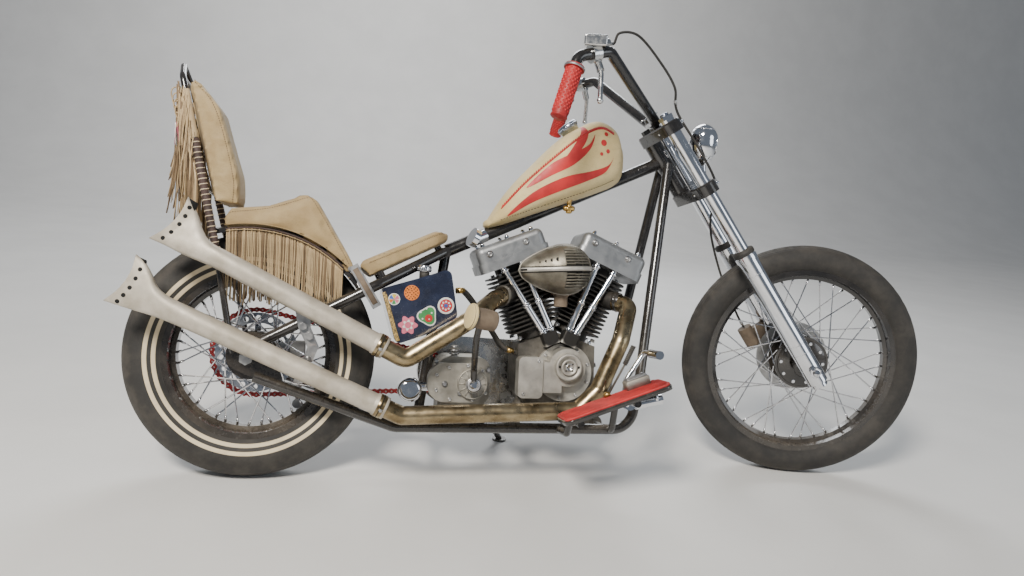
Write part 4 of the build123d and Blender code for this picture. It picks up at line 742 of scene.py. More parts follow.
front_tree = soft_pad("front_seat", "tan", 0.003, 0.004)
rear_tree = soft_pad("rear_seat", "tan", 0.003, 0.004)
back_tree = soft_pad("backrest", "tan", 0.004, 0.006)
seam = side_path([(290, 574), (380, 619), (470, 663), (494, 664)], 40)
kit = Kit()
for side in (-1, 1):
    stitches(kit, front_tree, [(290, 571), (380, 615), (470, 659), (492, 661)], side, 5.0)
    stitches(kit, rear_tree, [(-70, 672), (-56, 681), (30, 697), (94, 719), (122, 729), (143, 720), (224, 590), (240, 560)],
             side, 6.0)
    stitches(kit, back_tree, [(-60, 708), (-64, 780), (-114, 944), (-170, 1012)], side, 6.0)
    kit.tube("tan", along_surface(front_tree, seam, side, -0.6), 1.6, 7)
kit.make("seat_stitching", "chassis", "seat_leather")


# Leather fringe
def thong(kit, root, length, width, sway, steps=7, limit=lambda p: p, mat="thong"):
    """Thin strip that hangs down from its root with a small curl."""
    drift = np.array((RNG.normal(0, sway), RNG.normal(0, sway * 0.25), 0))
    wave, phase = RNG.normal(0, sway * 0.4), RNG.uniform(0, 6)
    path = [limit(np.array(root, float) + DOWN * length * f + drift * f * f
                  + np.array((wave * sin(phase + 5 * f) * f, 0, 0))) for f in np.linspace(0, 1, steps)]
    a = RNG.uniform(-0.7, 0.7)
    if mat == "thong" and RNG.uniform() < 0.42:
        mat = "thong_dark"
    kit.band(mat, path, width, 1.3, (cos(a), sin(a), 0.02), RNG.uniform(-1.2, 1.2))


# Fender fringe: a dark cord and two strips along the arc, and thongs that stay clear of the fender and the tyre
FENDER_R, CORD_R, THONG_R, EDGE_Y = 318, 327, 325, 98.2
FENDER_CLEAR, TYRE_CLEAR, FENDER_THONGS = 96.0, 71.0, 88


def keep_out(side, proud):
    def limit(p):
        inside = (FENDER_CLEAR if sqrt(p[0] ** 2 + (p[2] - REAR_R) ** 2) > FENDER_R else TYRE_CLEAR) + proud
        p[1] = side * max(side * p[1], inside)
        return p
    return limit


kit = Kit()
for side in (-1, 1):
    edge = [(CORD_R * cos(radians(a)), side * (EDGE_Y + 5 * min(1, (102 - a) / 30)), CORD_R * sin(radians(a)))
            for a in np.linspace(102, 46.5, 60)]
    kit.tube("cord_dark", [(x, y, REAR_R + z) for x, y, z in edge], 2.6, 8)
    for scale, back, width, thick, mat in ((1.03, 0.4, 21, 1.8, "tan"), (0.985, 0.2, 9, 1.6, "thong")):
        kit.band(mat, [(x * scale, y - side * back, REAR_R + z * scale) for x, y, z in edge], width, thick, (0, 1, 0))
    for i in range(FENDER_THONGS):
        a = radians(101.6 - i * 54.8 / (FENDER_THONGS - 1))
        x, z = THONG_R * cos(a), REAR_R + THONG_R * sin(a)
        low = 458 + RNG.normal(0, 5) + (6 if i % 2 else 0)
        if side > 0 and x > 170:
            low = max(low, z - 55)
        thong(kit, (x, side * (EDGE_Y + 0.9 * (i % 2)), z), (z - low) / 0.98, RNG.uniform(2.2, 3.6), 2.5,
              limit=keep_out(side, 1.6 * (i * 2 % 5)))


# Sissy bar fringe: wound cord, sleeves and four rows of thongs
def sissy(z, side=-1):
    """Centre of a sissy bar at a height."""
    f = (z - 560) / (1020 - 560)
    return Vector((-80 - 116 * f, side * (118 - 58 * f), z))


def behind(gap):
    return lambda p: np.array((min(p[0], sissy(p[2]).x - gap), p[1], p[2]))


def beside(side, gap=10.8):
    return lambda p: np.array((p[0], side * max(side * p[1], sissy(p[2], 1).y + gap), p[2]))


def hang(side, z, back, out, *rest):
    """Thong rooted that far from a sissy bar's centre."""
    thong(kit, sissy(z, side) + Vector((back, side * out, 0)), *rest)


for side in (-1, 1):
    turns = [sissy(590 + 1.1 * k, side) + Vector((10.2 * cos(2 * pi * k / 12), 10.2 * sin(2 * pi * k / 12), 0))
             for k in range(241)]
    kit.tube("thread", turns, 1.3, 6)
    kit.tube("cord_dark", [sissy(z, side) for z in np.linspace(586, 860, 12)], 9.6, 14)
    kit.tube("thong", [sissy(z, side) for z in np.linspace(862, 985, 8)], 9.4, 14)
    for i in range(60 if side < 0 else 34):
        hang(side, 1004 - 0.9 * i + RNG.normal(0, 4), RNG.normal(-10, 3), RNG.normal(0, 9), RNG.uniform(190, 340),
             RNG.uniform(2.6, 4.2), 13, 9, behind(13))
    for i in range(44):
        hang(side, 975 - 3.4 * i, RNG.normal(-12, 3), RNG.normal(0, 6), RNG.uniform(150, 320), 3.2, 9, 9, behind(12.5))
    for i in range(22):
        hang(side, 992 - 5.5 * i, RNG.normal(-4, 4), 10.5, RNG.uniform(60, 150), 3.0, 5, 9, beside(side))
    for i in range(20):
        hang(side, 822 - 3 * i, -11, RNG.normal(0, 3), 197 - 3 * i + RNG.normal(0, 8), 3.2, 4, 7, behind(13))
for k in range(4):
    loop = [sissy(985 - 14 * k) + Vector((12 * cos(a) - 21, 5 * sin(a * 2) + 3 * k, 18 * sin(a) - 14)) for a in around(24)]
    kit.tube("thong", loop, 1.7, 6, closed=True)
for k in range(10):
    thong(kit, (-204 + RNG.normal(0, 3), -66 + RNG.normal(0, 4), 900), RNG.uniform(38, 60), 2.4, 3,
          mat="pink" if k % 2 else "white")
kit.make("leather_fringe", "chassis", "seat_leather", ["fringe"])

# Engine details: heads' side bolts, nuts of the rocker boxes, barrel bolts and pushrod collars
CRANK, BANKS, PUSHROD_Y = Vector((815, 0, 280)), (-22.5, 22.5), -81


def bank(tilt, x, y, d):
    """Point in a cylinder's own directions: across, sideways and up from the crank."""
    a = radians(tilt)
    return CRANK + Vector((x * cos(a) + d * sin(a), y, -x * sin(a) + d * cos(a)))


kit = Kit()
for tilt in BANKS:
    up = Vector((sin(radians(tilt)), 0, cos(radians(tilt))))
    for x in (-64, 42):
        for side, y in ((-1, -93.2), (1, 51.2)):
            face = bank(tilt, x, y, 387)
            kit.turn("steel", [(0, 0), (9.5, 0), (9.5, 1.2), (0, 1.6)], face, (0, side, 0), 22)
            socket_screw(kit, face, (0, side, 0), 6.5)
    for x in (-72, 72, 0):
        for y in (-72, 30):
            acorn(kit, bank(tilt, x, y, 411.5), up, 6.5)
    for x, y in ((-56, -54), (56, -54), (-56, 54), (56, 54)):
        hexbolt(kit, bank(tilt, x, y, 136), up, 7, 7)
        hexbolt(kit, bank(tilt, x * 0.9, y, 326), -up, 6, 6)
for tilt, foot, top in ((-22.5, 7, -39), (-22.5, 29, 15), (22.5, -5, 24), (22.5, -27, -30)):
    low, high = bank(tilt, foot, PUSHROD_Y, 132), bank(tilt, top, PUSHROD_Y, 340)
    for f, r in ((0.03, 12.0), (0.42, 11.6), (0.45, 10.2), (0.955, 11.6)):
        kit.turn("chrome", [(0, -4), (r, -4), (r + 0.8, -2), (r + 0.8, 2), (r, 4), (0, 4)], low + (high - low) * f,
                 high - low, 20)
kit.make("engine_fasteners", "chassis", "bare_steel")

# Timing cover: rim, domed centre and screws
kit = Kit()
centre = Vector((835, -120.2, 316))
kit.turn("plate", [(36, 0), (38, 2), (36, 6), (31, 7), (29, 4), (0, 4)], centre, RIGHT, 48)
kit.turn("plate", [(0, 5), (23, 5), (23, 8), (20, 9.5), (17, 9.5), (16, 7), (0, 7)], centre, RIGHT, 40)
kit.turn("polished", [(0, 6.8), (11, 6.8), (11, 8.6), (7, 9.4), (6.6, 7.4), (0, 7.2)], centre, RIGHT, 28)
# Dark discs stand for the sockets and notches: painted shade in them.
for x in (-27, 27):
    kit.turn("dark", [(3.4, 0), (2.6, 1.2), (0, 1.3)], centre + Vector((x, -5, 1)), RIGHT, 14)
for a in around(4) + radians(45):
    kit.turn("dark", [(2.8, 0), (2.2, 0.8), (0, 0.9)], centre + Vector((12.8 * cos(a), -6.6, 12.8 * sin(a))), RIGHT, 12)
for a in around(9) + radians(20):
    socket_screw(kit, (834 + 71 * cos(a), -76.2, 298 + 71 * sin(a)), RIGHT)
for x, z in ((714, 240), (754, 330)):
    socket_screw(kit, (x, -104.2, z), RIGHT)
kit.make("timing_details", "chassis", "cast_alloy")

# Air cleaner: smooth half drop with a rib, holes and grooves; the drop is pairs of length and half height
DROP = [(0, 0), (14, 24), (58, 49), (100, 64.5), (128, 69), (156, 65), (181, 50), (196, 30), (204, 0)]
DROP_STEPS, SLAT_PITCH, SLAT_OPEN, SLAT_DEPTH = 120, 8.0, 4.4, 4.5
tip, along, across = Vector((688, -100, 574)), Vector((1, 0, 0.068)).normalized(), Vector((-0.068, 0, 1)).normalized()


def on_drop(x, high, y):
    """Point of the air cleaner from its tip: along it, up it and sideways."""
    return tip + along * x + across * high + Vector((0, y, 0))


kit = Kit()
fine = side_path(DROP, DROP_STEPS)
fine[:, 2] = np.maximum(fine[:, 2], 0.05)
pts, cut = [], []
for x, _, r in fine:
    for a in np.linspace(0, pi, DROP_STEPS):
        high = abs(r * cos(a))
        cut.append(116 < x < 190 and 9 < high < 56 and (high - 9) % SLAT_PITCH < SLAT_OPEN and r > high + 4)
        q = r - SLAT_DEPTH * cut[-1]
        pts.append(on_drop(x, q * cos(a), -q * sin(a)))
shell = [f[::-1] for f in grid_faces(len(fine), DROP_STEPS, wrap_cols=False)]
# The grooves' recessed faces are near black: painted shade in the grooves.
for mat, hollow in (("cleaner", False), ("dark", True)):
    kit.add(pts, [f for f in shell if all(cut[i] for i in f) == hollow], mat, outward=False)
edge = [on_drop(x, r, -0.4) for x, _, r in fine] + [on_drop(x, -r, -0.4) for x, _, r in fine[::-1]]
kit.tube("cast", edge[::2], 2.4, 8, closed=True)
kit.add([p + Vector((0, 0.4, 0)) for p in edge], [tuple(range(len(edge)))[::-1]], "cast", smooth=False)
rib = [on_drop(x, 0, -r - 0.6) for x, _, r in fine[6:-5]]
# The dark bands under and along the rib are painted shade round it.
kit.band("dark", rib, 17, 3, across)
kit.band("plate", rib, 11.5, 5.5, across)
kit.band("dark", rib[2:12], 5.5, 7.0, across)
# The holes are dark discs: painted shade in them.
HOLES_AT = radians(66)
for k in range(4):
    x, size = 50 + 15 * k, 2.2 + 0.9 * k
    r = float(np.interp(x, fine[:, 0], fine[:, 2]))
    kit.turn("dark", [(0, 0.4), (size, 0.5), (size + 0.8, 0.2)], on_drop(x, r * cos(HOLES_AT), -r * sin(HOLES_AT)),
             across * cos(HOLES_AT) * 0.9 + RIGHT * sin(HOLES_AT), 18)
kit.make("air_cleaner_shell", "chassis", "cast_alloy", ["air_cleaner"])

# Silencers: round at the collar, blending into flat notched tails with a row of holes
SILENCER_Y, SILENCER_R, TAIL_RINGS, TAIL_SIDES, TAIL_DEEP = -170, 26, 48, 44, 26
SIDEWAYS = np.array((0, 1, 0))


def tail_ring(mid, half, way, flat=SILENCER_R, power=2.0, bulge=0.0):
    """Ring between two edges, in the plane of y and their difference; bulge draws its middle back."""
    t = around(TAIL_SIDES)[:, None]
    v, d = squared(np.cos(t), power), squared(np.sin(t), power)
    return mid + half * v + SIDEWAYS * (SILENCER_Y + flat * d) - way * (bulge * (1 - v * v))


def tail_shell(kit, start, root, a_side, b_side, holes):
    start, root = (Vector((x, SILENCER_Y, z)) for x, z in (start, root))
    way = (root - start).normalized()
    back = np.array(way)
    kit.turn("pale", [(23.5, -2), (28.6, -2), (28.8, 4), (28.6, 28), (26.2, 30), (26, 32), (25.6, 40)], start, way, 40)
    a_line, b_line = side_path(a_side, 70), side_path(b_side, 70)
    mid, half = (a_line[0] + b_line[0]) / 2, (a_line[0] - b_line[0]) / 2
    rings = [tail_ring(mid - back * far, half, back) for far in np.linspace((root - start).length - 31, 6, 26)]
    for u in np.linspace(0, 1, TAIL_RINGS):
        a, b = (np.array([np.interp(u * (len(line) - 1), range(len(line)), line[:, k]) for k in range(3)])
                for line in (a_line, b_line))
        flat = SILENCER_R - 15.5 * min(1.0, max(0.0, (u - 0.12) / 0.75)) ** 1.1
        bulge = 16 * max(0.0, (u - 0.45) / 0.55) ** 1.5
        rings.append(tail_ring((a + b) / 2, (a - b) / 2, back, flat, 2 + 1.6 * u, bulge))
    pts, faces = loft(rings, cap=False)
    kit.add(pts, faces, "pale")
    mouth, mid = rings[-1], rings[-1].mean(0)
    lip = mid + (mouth - mid) * np.array((0.96, 0.72, 0.96))
    between, bottom = grid_faces(2, TAIL_SIDES), [tuple(TAIL_SIDES + k for k in range(TAIL_SIDES))]
    kit.add(np.concatenate([mouth, lip]), between, "pale")
    # The mouth's inside is near black: painted shade in the hollow.
    kit.add(np.concatenate([lip, lip - back * TAIL_DEEP]), between + bottom, "dark")
    tree = tree_of(pts, faces)
    # The holes are dark discs: painted shade in them.
    for x, z in holes:
        for side in (-1, 1):
            hit, normal = meet(tree, x, z, side, SILENCER_Y + side * 120)
            if hit:
                kit.turn("dark", [(0, 0.6), (4.4, 0.6), (5.2, 0.2)], hit, normal + Vector((0, 0.6 * side, 0)), 18)
    clamp = start + way * 14
    kit.turn("bronze", [(29.2, -9), (30.4, -8), (30.4, 8), (29.2, 9)], clamp, way, 40)
    kit.turn("dark", [(30.3, -1.2), (31.0, 0), (30.3, 1.2)], clamp, way, 40)
    hexbolt(kit, clamp + Vector((0, -31, -6)), (0, -0.5, -1), 4.5, 4)


kit = Kit()
tail_shell(kit, (337, 356), (16, 517.6), [(27.7, 540.8), (-50, 578), (-88, 598), (-106, 622), (-121, 662), (-144, 703)],
           [(4.3, 494.4), (-80, 536), (-148, 563), (-190, 583), (-227, 598)],
           [(-139, 676), (-147, 655), (-159, 635), (-176, 615), (-194, 600)])
tail_shell(kit, (345, 205), (-52.6, 378.9),
           [(-42.2, 402.7), (-130, 441), (-176, 462), (-202, 484), (-215, 512), (-232, 541), (-252, 558)],
           [(-63, 355), (-140, 388), (-205, 413), (-262, 429), (-318, 446)],
           [(-240, 523), (-248, 501), (-260, 479), (-273, 461), (-286, 446)])
kit.band("mud", [(254, -143.4, 553), (309, -143.4, 466)], 14, 1.2, (0.84, 0, 0.54))
kit.make("silencer_shells", "chassis", "pale_coating", ["fishtails"])

# Oil tank dressing: generic round and lobed patches, a webbing strap along its edge, neck and cap
kit = Kit()
OIL_TANK_Y, LOW, MIDDLE, HIGH = -112, 0.3, 0.5, 0.7


def patch(at, outline, mat, lift):
    pts = [(at[0] + x, OIL_TANK_Y - lift, at[1] + z) for x, z in outline]
    kit.add(pts, [tuple(range(len(pts)))], mat, smooth=False, outward=False)


def disc(r, n=28, lobes=0, depth=0.0, turn=0.0):
    return [((r + depth * cos(lobes * a)) * cos(a + turn), (r + depth * cos(lobes * a)) * sin(a + turn)) for a in around(n)]


def dots(at, reach, count, outline, mat, lift, start=0.0):
    for a in around(count) + start:
        patch((at[0] + reach * cos(a), at[1] + reach * sin(a)), outline, mat, lift)


WHEEL, BALL, FLOWER, SHIELD, TARGET = (357, 480), (402, 499), (396, 414), (446, 440), (493, 469)
patch(WHEEL, disc(15.5), "white", LOW)
for k, mat in enumerate(("pink", "yellow", "blue", "orange", "green", "pink")):
    slice_ = [(13 * cos(a), 13 * sin(a)) for a in np.linspace(k * pi / 3 + 0.08, (k + 1) * pi / 3 - 0.08, 7)]
    patch(WHEEL, [(0, 0)] + slice_, mat, MIDDLE)
patch(BALL, disc(20), "orange", LOW)
for r, n, start in ((5, 4, 0), (11, 9, pi / 9), (16, 13, 0)):
    dots(BALL, r, n, disc(1.7, 8), "dark", MIDDLE, start)
for at, shape, mat, lift in (
        (FLOWER, (22, 60, 6, 4.0), "pink", LOW), (FLOWER, (12, 60, 6, 3.0, 0.4), "white", MIDDLE),
        (FLOWER, (8.5, 30), "pink", HIGH), (SHIELD, (25, 60, 3, 3.5, 1.1), "white", LOW),
        (SHIELD, (21.5, 60, 3, 3.2, 1.1), "green", MIDDLE), ((449, 434), (10, 24), "red", HIGH)):
    patch(at, disc(*shape), mat, lift)
dots((442, 444), 15, 5, disc(2.4, 10), "white", HIGH, 0.3)
patch(TARGET, disc(22, 40), "white", LOW)
patch(TARGET, disc(17, 40), "red", MIDDLE)
dots(TARGET, 10.5, 8, disc(2.8, 12), "white", HIGH)
patch(TARGET, disc(5, 20), "blue", HIGH)
strap = [(330, -113.2, 497), (338, -113.4, 474), (352, -113.4, 430), (364, -113.4, 393), (372, -113.2, 371)]
kit.band("gold", smooth_path(strap, 30), 11, 1.6, (0.95, 0, 0.3))
kit.turn("rubber", [(12.4, 0), (13.5, 1), (13.5, 16), (12.4, 18)], (434, -93, 538), UP, 28)
kit.turn("chrome", [(0, 0), (17.4, 0), (18, 2), (18, 14), (16.5, 17), (0, 18)], (434, -93, 556), UP, 36)
for a in around(24):
    kit.tube("chrome", [(434 + 18 * cos(a), -93 + 18 * sin(a), z) for z in (559, 569)], 0.9, 5)
up, cap_at = Vector((-0.62, 0, 0.78)).normalized(), Vector((846, 0, 986))
kit.turn("ring", [(0, -4), (25, -4), (27, 8), (29.5, 10), (30.5, 14), (30.5, 22), (27, 26.5), (12, 28.5), (0, 29)],
         cap_at, up, 44)
_, u, v = basis(up)
for a in around(36):
    p = cap_at + (u * cos(a) + v * sin(a)) * 30.4
    kit.tube("ring", [p + up * 13, p + up * 22.5], 1.1, 5)
kit.turn("brass", [(0, 0), (7, 0), (9, 3), (9, 12), (6.5, 15), (6.5, 34), (8.5, 36), (8.5, 48), (0, 48)],
         (836, -48, 744), UP, 20)
kit.turn("brass", [(0, 0), (6, 0), (8, 4), (8, 28), (6, 32), (0, 32)], (820, -48, 758), AHEAD, 18)
kit.add(*plate(rounded(20, 8, 3.5), (836, -57, 757), RIGHT, 4, 1.0, AHEAD), "brass")
kit.make("filler_caps_and_patches", "chassis", "chrome", ["fluid_fittings"])

# Kick starter pedal, clutch star and screws of the gearbox
kit = Kit()
low, high = Vector((548, -248.5, 445)), Vector((602, -231.5, 435.7))
length = (high - low).length
ribbed = [(24.6 + (k + 1) % 2 + 1.5 * sin(pi * k / 22), length * k / 22) for k in range(23)]
kit.turn("mud", [(0, 0)] + ribbed + [(0, length)], low, high - low, 36)
kit.turn("cream", [(0, 0), (31, 0), (33, 2), (33, 8), (31, 10.5), (22, 12), (0, 12.3)], (545.5, -249, 445.4),
         (-10, -3, 2), 44)
for a in around(12):
    kit.tube("cast", [(573 + r * cos(a), y, 264 + r * sin(a)) for r, y in ((12, -114.6), (38, -114.4))], 1.8, 6)
kit.turn("cast", [(38.5 + 2 * cos(a), 2 * sin(a)) for a in around(10)], (573, -114.4, 264), RIGHT, 40, closed=True)
kit.turn("steel", [(19.4, 0), (20.6, 1), (20.6, 16), (19.4, 17), (12, 18.5), (0, 18.5)], (573, -123.5, 264), RIGHT, 28)
hexbolt(kit, (573, -142, 264), RIGHT, 9, 6, "chrome")
for x, z in ((478, 246), (478, 286), (510, 306), (560, 312), (600, 300), (610, 240), (575, 222), (515, 222)):
    socket_screw(kit, (x, -106.2, z), RIGHT)
for z, r, sides in ((322, 15, 22), (330, 11, 22), (338, 14, 22), (347, 15.5, 6), (356, 11, 22)):
    kit.turn("steel", [(0, 0), (r, 0), (r, 5), (0, 5)], (528, -60, z), UP, sides)
for at, r in (((500, -107, 262), 6), ((541, -107, 238), 5), ((620, -84, 300), 6), ((478, -84, 320), 5)):
    hexbolt(kit, at, RIGHT, r)
kit.make("gearbox_details", "chassis", "cast_alloy")

# Floorboards: ribbed red mats over black boards
kit = Kit()
RISE = radians(19.9)
along, up = Vector((cos(RISE), 0, sin(RISE))), Vector((-sin(RISE), 0, cos(RISE)))
outline = rounded(290, 100, 20, 6)
for side in (-1, 1):
    heel = Vector((765, side * 300, 207))
    centre = heel + along * 145
    kit.add(*plate(outline, centre - up * 16, up, 11.5, 1.5, along), "black")
    kit.add(*plate([(x * 0.985, y * 0.97) for x, y in outline], centre - up * 4.6, up, 5.2, 1.2, along), "red_board")
    for off in range(-42, 43, 7):
        reach = along * (138 if abs(off) < 34 else 130)
        p = centre + Vector((0, off, 0)) + up * 0.6
        rib = [(-1.2, 0), (-0.7, 1.6), (0.7, 1.6), (1.2, 0)]
        kit.tube("red_board", [p - reach, p + reach], 1.0, section=rib, hint=(0, 1, 0))
    for d in (22, 268):
        for w in (-30, 30):
            hexbolt(kit, heel + along * d + Vector((0, w, 0)) - up * 16, -up, 5, 4)
kit.make("footboard_mats", "chassis", "red_board", ["floorboards"])

# Foot brake: pump box, spring rod and knob
kit = Kit()
centre = Vector((976, -268, 288)) + up * 8
kit.add(*plate(rounded(66, 36, 6), centre - up * 12, up, 24, 3, along), "cast")
kit.add(*plate(rounded(58, 30, 5), centre + up * 12, up, 3.5, 1.2, along), "cover")
for x in (-24, 24):
    for y in (-11, 11):
        socket_screw(kit, centre + along * x + Vector((0, y, 0)) + up * 15.5, up, 2.8)
foot, low, high = Vector((898, -264, 258)), Vector((941, -264, 340)), Vector((963, -264, 388))
kit.tube("sooty", [foot, low, high], 3.0, 8)
kit.tube("rubber", [low, high], 5.4, 12)
_, u, v = basis(high - low)
coil = [low + (high - low) * f + (u * cos(22 * pi * f) + v * sin(22 * pi * f)) * 6.2 for f in np.linspace(0, 1, 241)]
kit.tube("sooty", coil, 1.3, 6)
kit.turn("brass", [(0, 0), (8, 0), (9.5, 3), (9.5, 9), (7, 12), (0, 13)], foot - up * 2, up, 20)
for p, way in (((949, -272, 246), (-1, 0, -0.16)), ((1021, -272, 257), (1, 0, 0.16))):
    kit.turn("chrome", [(0, 0), (14, 0), (14.6, 1.5), (14.6, 6), (11, 9), (0, 10)], p, way, 26)
kit.make("brake_pump", "chassis", "chrome")

# Grips: rows of small studs, a collar and an end cap; the studs are real, and their lighter red than the grip is a
# painted highlight
kit = Kit()
ROWS, PER_ROW = 17, 14
for side in (-1, 1):
    knee, tip = Vector((850, side * 347, 1160)), Vector((812, side * 401, 1012))
    low, high = tip + (knee - tip) * 0.03, tip + (knee - tip) * 0.76
    way, u, v = basis(high - low)
    for row in range(ROWS):
        for a in around(PER_ROW) + pi / PER_ROW * (row % 2):
            out = u * cos(a) + v * sin(a)
            kit.turn("red", [(3.0, 0), (2.4, 1.7), (0, 2.2)], low + (high - low) * ((row + 0.5) / ROWS) + out * 20.2, out, 7)
    kit.turn("cover", [(20.6, 0), (27, 0), (27, 5), (20.6, 6)], high + way * 2, way, 32)
    kit.turn("red_grip", [(0, -7), (18, -6), (22, -3), (21, 0), (0, 0)], tip - (knee - tip) * 0.02, way, 28)
kit.make("grip_studs", "front_end", "red_rubber")

# Lamp rim, glass and rings; nuts and rings of the fork and the axle
kit = Kit()
LAMP, LEG_Y = Vector((1247, 0, 985)), 116


def lamp_oval(ahead, half_y, half_z):
    return [LAMP + Vector((ahead, half_y * cos(a), half_z * sin(a) - 2)) for a in around(48)]


kit.tube("chrome", lamp_oval(35.5, 20, 30), 2.2, 8, closed=True)
glass = [lamp_oval(35.6 + push, 19 * f, 29 * f) for f, push in ((1.0, 0.0), (0.8, 2.4), (0.5, 4.2), (0.15, 5.0))]
kit.add(*loft(glass), "lens")
for h in (-46, -38, -30, 34, 42):
    r = float(np.interp(h, (-72, -42, 10, 42, 56), (0.5, 29, 40, 29, 0.5))) + 1
    kit.tube("chrome", [LAMP + Vector((min(34.5, r * cos(a)), r * sin(a), h)) for a in around(56)], 1.0, 6, closed=True)
for side in (-1, 1):
    y = side * LEG_Y
    kit.turn("ring", [(0, 0), (13, 0), (13, 5), (10, 8), (0, 9)], leg(848, y), STEM_DIR, 6)
    for t in (612, 812):
        acorn(kit, leg(t, side * (LEG_Y - 10), -30), (-C, 0, -S), 5.5)
        acorn(kit, leg(t, y, 30), (C, 0, S), 5.5)
    for off, ahead in ((-14, 14), (14, 14), (-14, -14), (14, -14)):
        hexbolt(kit, leg(-42, y + off, ahead), -STEM_DIR, 4, 3.5, "chrome")
    kit.turn("rubber", [(29.4, 0), (31, 2), (31, 10), (29.6, 14), (21, 17), (20.4, 18)], leg(392, y), STEM_DIR, 36)
    for t in (60, 90, 330):
        kit.turn("chrome", [(29.2, -1), (29.9, 0), (29.2, 1)], leg(t, y), STEM_DIR, 36)
for y in (-150, 150):
    acorn(kit, (WHEELBASE, y, FRONT_R), (0, y, 0), 13)
for side in (-1, 1):
    for ahead in (-39, -3):
        socket_screw(kit, leg(866, side * 34, ahead), STEM_DIR, 4.5, "chrome")
kit.make("fork_fasteners", "front_end", "chrome")


def hose(kit, points, n, r, sides, sleeves, mat, profile, seg):
    """Smooth rubber hose with sleeves at some of its points, the last ones counted from its end."""
    path = smooth_path(points, n)
    kit.tube("rubber", path, r, sides)
    for at in sleeves:
        at %= len(path)
        kit.turn(mat, profile, path[at], path[at + 1] - path[at - 1], seg)


# Smooth brake hose over the same run as the solid
kit = Kit()
grip, knee = Vector((930, -300, 1183)), Vector((850, -347, 1160))
elbow, way = grip + (knee - grip) * 0.5 + Vector((34, 44, 36)), Vector((34, 44, 6)).normalized()
run = [elbow + way * 2, elbow + way * 30, (958, -226, 1243), (1012, -176, 1248), (1080, -120, 1196), (1134, -90, 1130)]
run += [leg(*at) for at in ((840, -62, 46), (720, -60, 48), (612, -40, 46), (560, 30, 30), (470, 66, -22), (330, 70, -62),
                            (200, 80, -78), (148, 82, -80))]
hose(kit, run, 150, 3.5, 10, (4, 62, 88, -5), "steel", [(3.4, -7), (4.9, -6), (4.9, 6), (3.4, 7)], 14)
kit.make("brake_hose", "front_end", "black_rubber", ["cables"])

# Oil hoses with brass ends
kit = Kit()
for y in (-48, -24):
    run = [(531, 2 * y + 12, 512), (552, 1.6 * y, 505), (604, y, 446), (660, y, 366), (694, y, 350)]
    end = [(6.3, -9), (8.4, -8), (8.4, 3), (7.4, 4), (7.4, 9), (6.3, 10)]
    hose(kit, run, 60, 6.4, 14, (4, -5), "brass", end, 6)
kit.make("oil_hoses", "chassis", "black_rubber", ["oil_lines"])

# Dark sleeve at the front port and a flange at the rear one
kit = Kit()
for port, tilt, top, mat in (((976, -74, 500), 22.5, [(25.2, 10), (25.2, 17), (24.2, 18)], "rim"),
                             ((654, -74, 502), -22.5, [(25.0, 10), (24.2, 12)], "sooty")):
    inside = bank(tilt, 0, 0, (492 - CRANK.z) / cos(radians(tilt)))
    kit.turn(mat, [(24.2, 2), (29, 2), (29, 8)] + top, port, Vector(port) - inside, 40)
kit.make("port_flanges", "chassis", "black_iron")

# Finishes of the solids that show as they are
FINISHES = {
    "black": "frame sissy_bar rear_fender kick_lever side_stand lower_tree upper_tree handlebar",
    "chrome": "fluid_fittings oil_filter pushrod_tubes horn foot_pedals front_axle fork_tubes fork_sliders headlight",
    "steel": "steel_brackets chain_tensioner rear_caliper rear_axle front_disc",
    "rubber": "oil_lines rear_tyre front_tyre cables",
    "rim": "rear_rim rear_hub front_rim front_hub",
    "spoke": "rear_spokes front_spokes", "polished": "primary_cover hand_levers", "mud": "carburettor front_caliper",
    "cast": "air_cleaner gearbox", "tan": "front_seat rear_seat backrest", "navy": "oil_tank", "sooty": "crankcase",
    "lifter_darkened": "timing_cover", "iron": "cylinders", "cover": "rocker_boxes", "bronze": "exhaust_headers",
    "pale": "fishtails", "red_board": "floorboards", "red_chain": "drive_chain", "ring": "rear_sprocket",
    "red_grip": "grips", "cream": "fuel_tank", "thong": "fringe",
}
FINISH_OF = {node: finish for finish, nodes in FINISHES.items() for node in nodes.split()}
# The timing cover is painted near black round the two lifter blocks.
LIFTER_BLOCKS = [BODY @ bank(tilt, x, -84, 122) for tilt, x in ((-22.5, 18), (22.5, -16))]
to_cover = frame["nodes"]["timing_cover"].matrix_world.inverted()
M["lifter_darkened"] = surface("lifter_darkened_casting", **PALE_CASTING, spots=[(tuple(to_cover @ p), 0.036) for p in LIFTER_BLOCKS])
for name, node in frame["nodes"].items():
    finish = M[FINISH_OF[name]]
    if not node.material_slots:
        node.data.materials.append(finish)
    for place in node.material_slots:
        place.material = finish

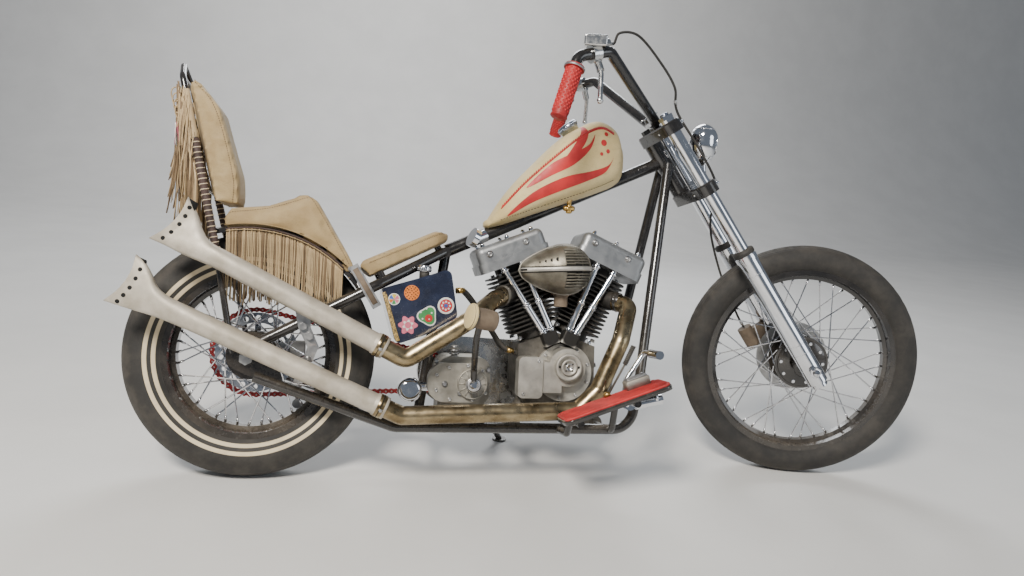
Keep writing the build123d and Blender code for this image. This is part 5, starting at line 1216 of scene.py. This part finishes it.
# Floor with a soft sweep behind, in metres; light and world
FLOOR_HALF, SWEEP_FROM, SWEEP_R, SWEEP_TOP = 16.0, 7.0, 4.0, 12.0
profile = [(-9.0, 0.0), (SWEEP_FROM, 0.0)]
profile += [(SWEEP_FROM + SWEEP_R * sin(radians(a)), SWEEP_R - SWEEP_R * cos(radians(a))) for a in range(6, 91, 6)]
profile += [(SWEEP_FROM + SWEEP_R, SWEEP_TOP)]
floor_mesh = bpy.data.meshes.new("floor")
floor_mesh.from_pydata([(x, y, z) for y, z in profile for x in (-FLOOR_HALF, FLOOR_HALF)], [],
                       [(2 * i, 2 * i + 1, 2 * i + 3, 2 * i + 2) for i in range(len(profile) - 1)])
floor_mesh.polygons.foreach_set("use_smooth", [True] * len(floor_mesh.polygons))
floor_mesh.materials.append(surface("pale_floor", (0.70, 0.69, 0.67), 0.8, vary=0.03, vary_scale=2, bump=0.1, bump_scale=60))
floor = bpy.data.objects.new("floor", floor_mesh)
scene.collection.objects.link(floor)
for name, at, aim, size, power, tint in (
        ("key", (-1.9, -3.0, 3.4), (0, 0, 0.5), 1.1, 300, (1.0, 0.95, 0.87)),
        ("fill", (3.6, -3.2, 1.8), (0.2, 0, 0.5), 2.6, 40, (0.90, 0.95, 1.0)),
        ("back", (0.8, 3.6, 3.2), (0, 0, 0.6), 2.6, 110, (0.93, 0.97, 1.0)),
        ("sweep", (0.0, 6.0, 6.5), (0, 9.0, 2.0), 5.0, 420, (1.0, 1.0, 1.0))):
    data = bpy.data.lights.new(name, "AREA")
    data.shape, data.size, data.energy, data.color = "DISK", size, power, tint
    lamp = bpy.data.objects.new(name, data)
    scene.collection.objects.link(lamp)
    lamp.location = at
    lamp.rotation_euler = (Vector(aim) - Vector(at)).to_track_quat("-Z", "Y").to_euler()
scene.world = bpy.data.worlds.new("world")
scene.world.use_nodes = True
sky = scene.world.node_tree.nodes["Background"]
sky.inputs[0].default_value, sky.inputs[1].default_value = (0.60, 0.68, 0.80, 1), 0.26

bpy.context.view_layer.update()
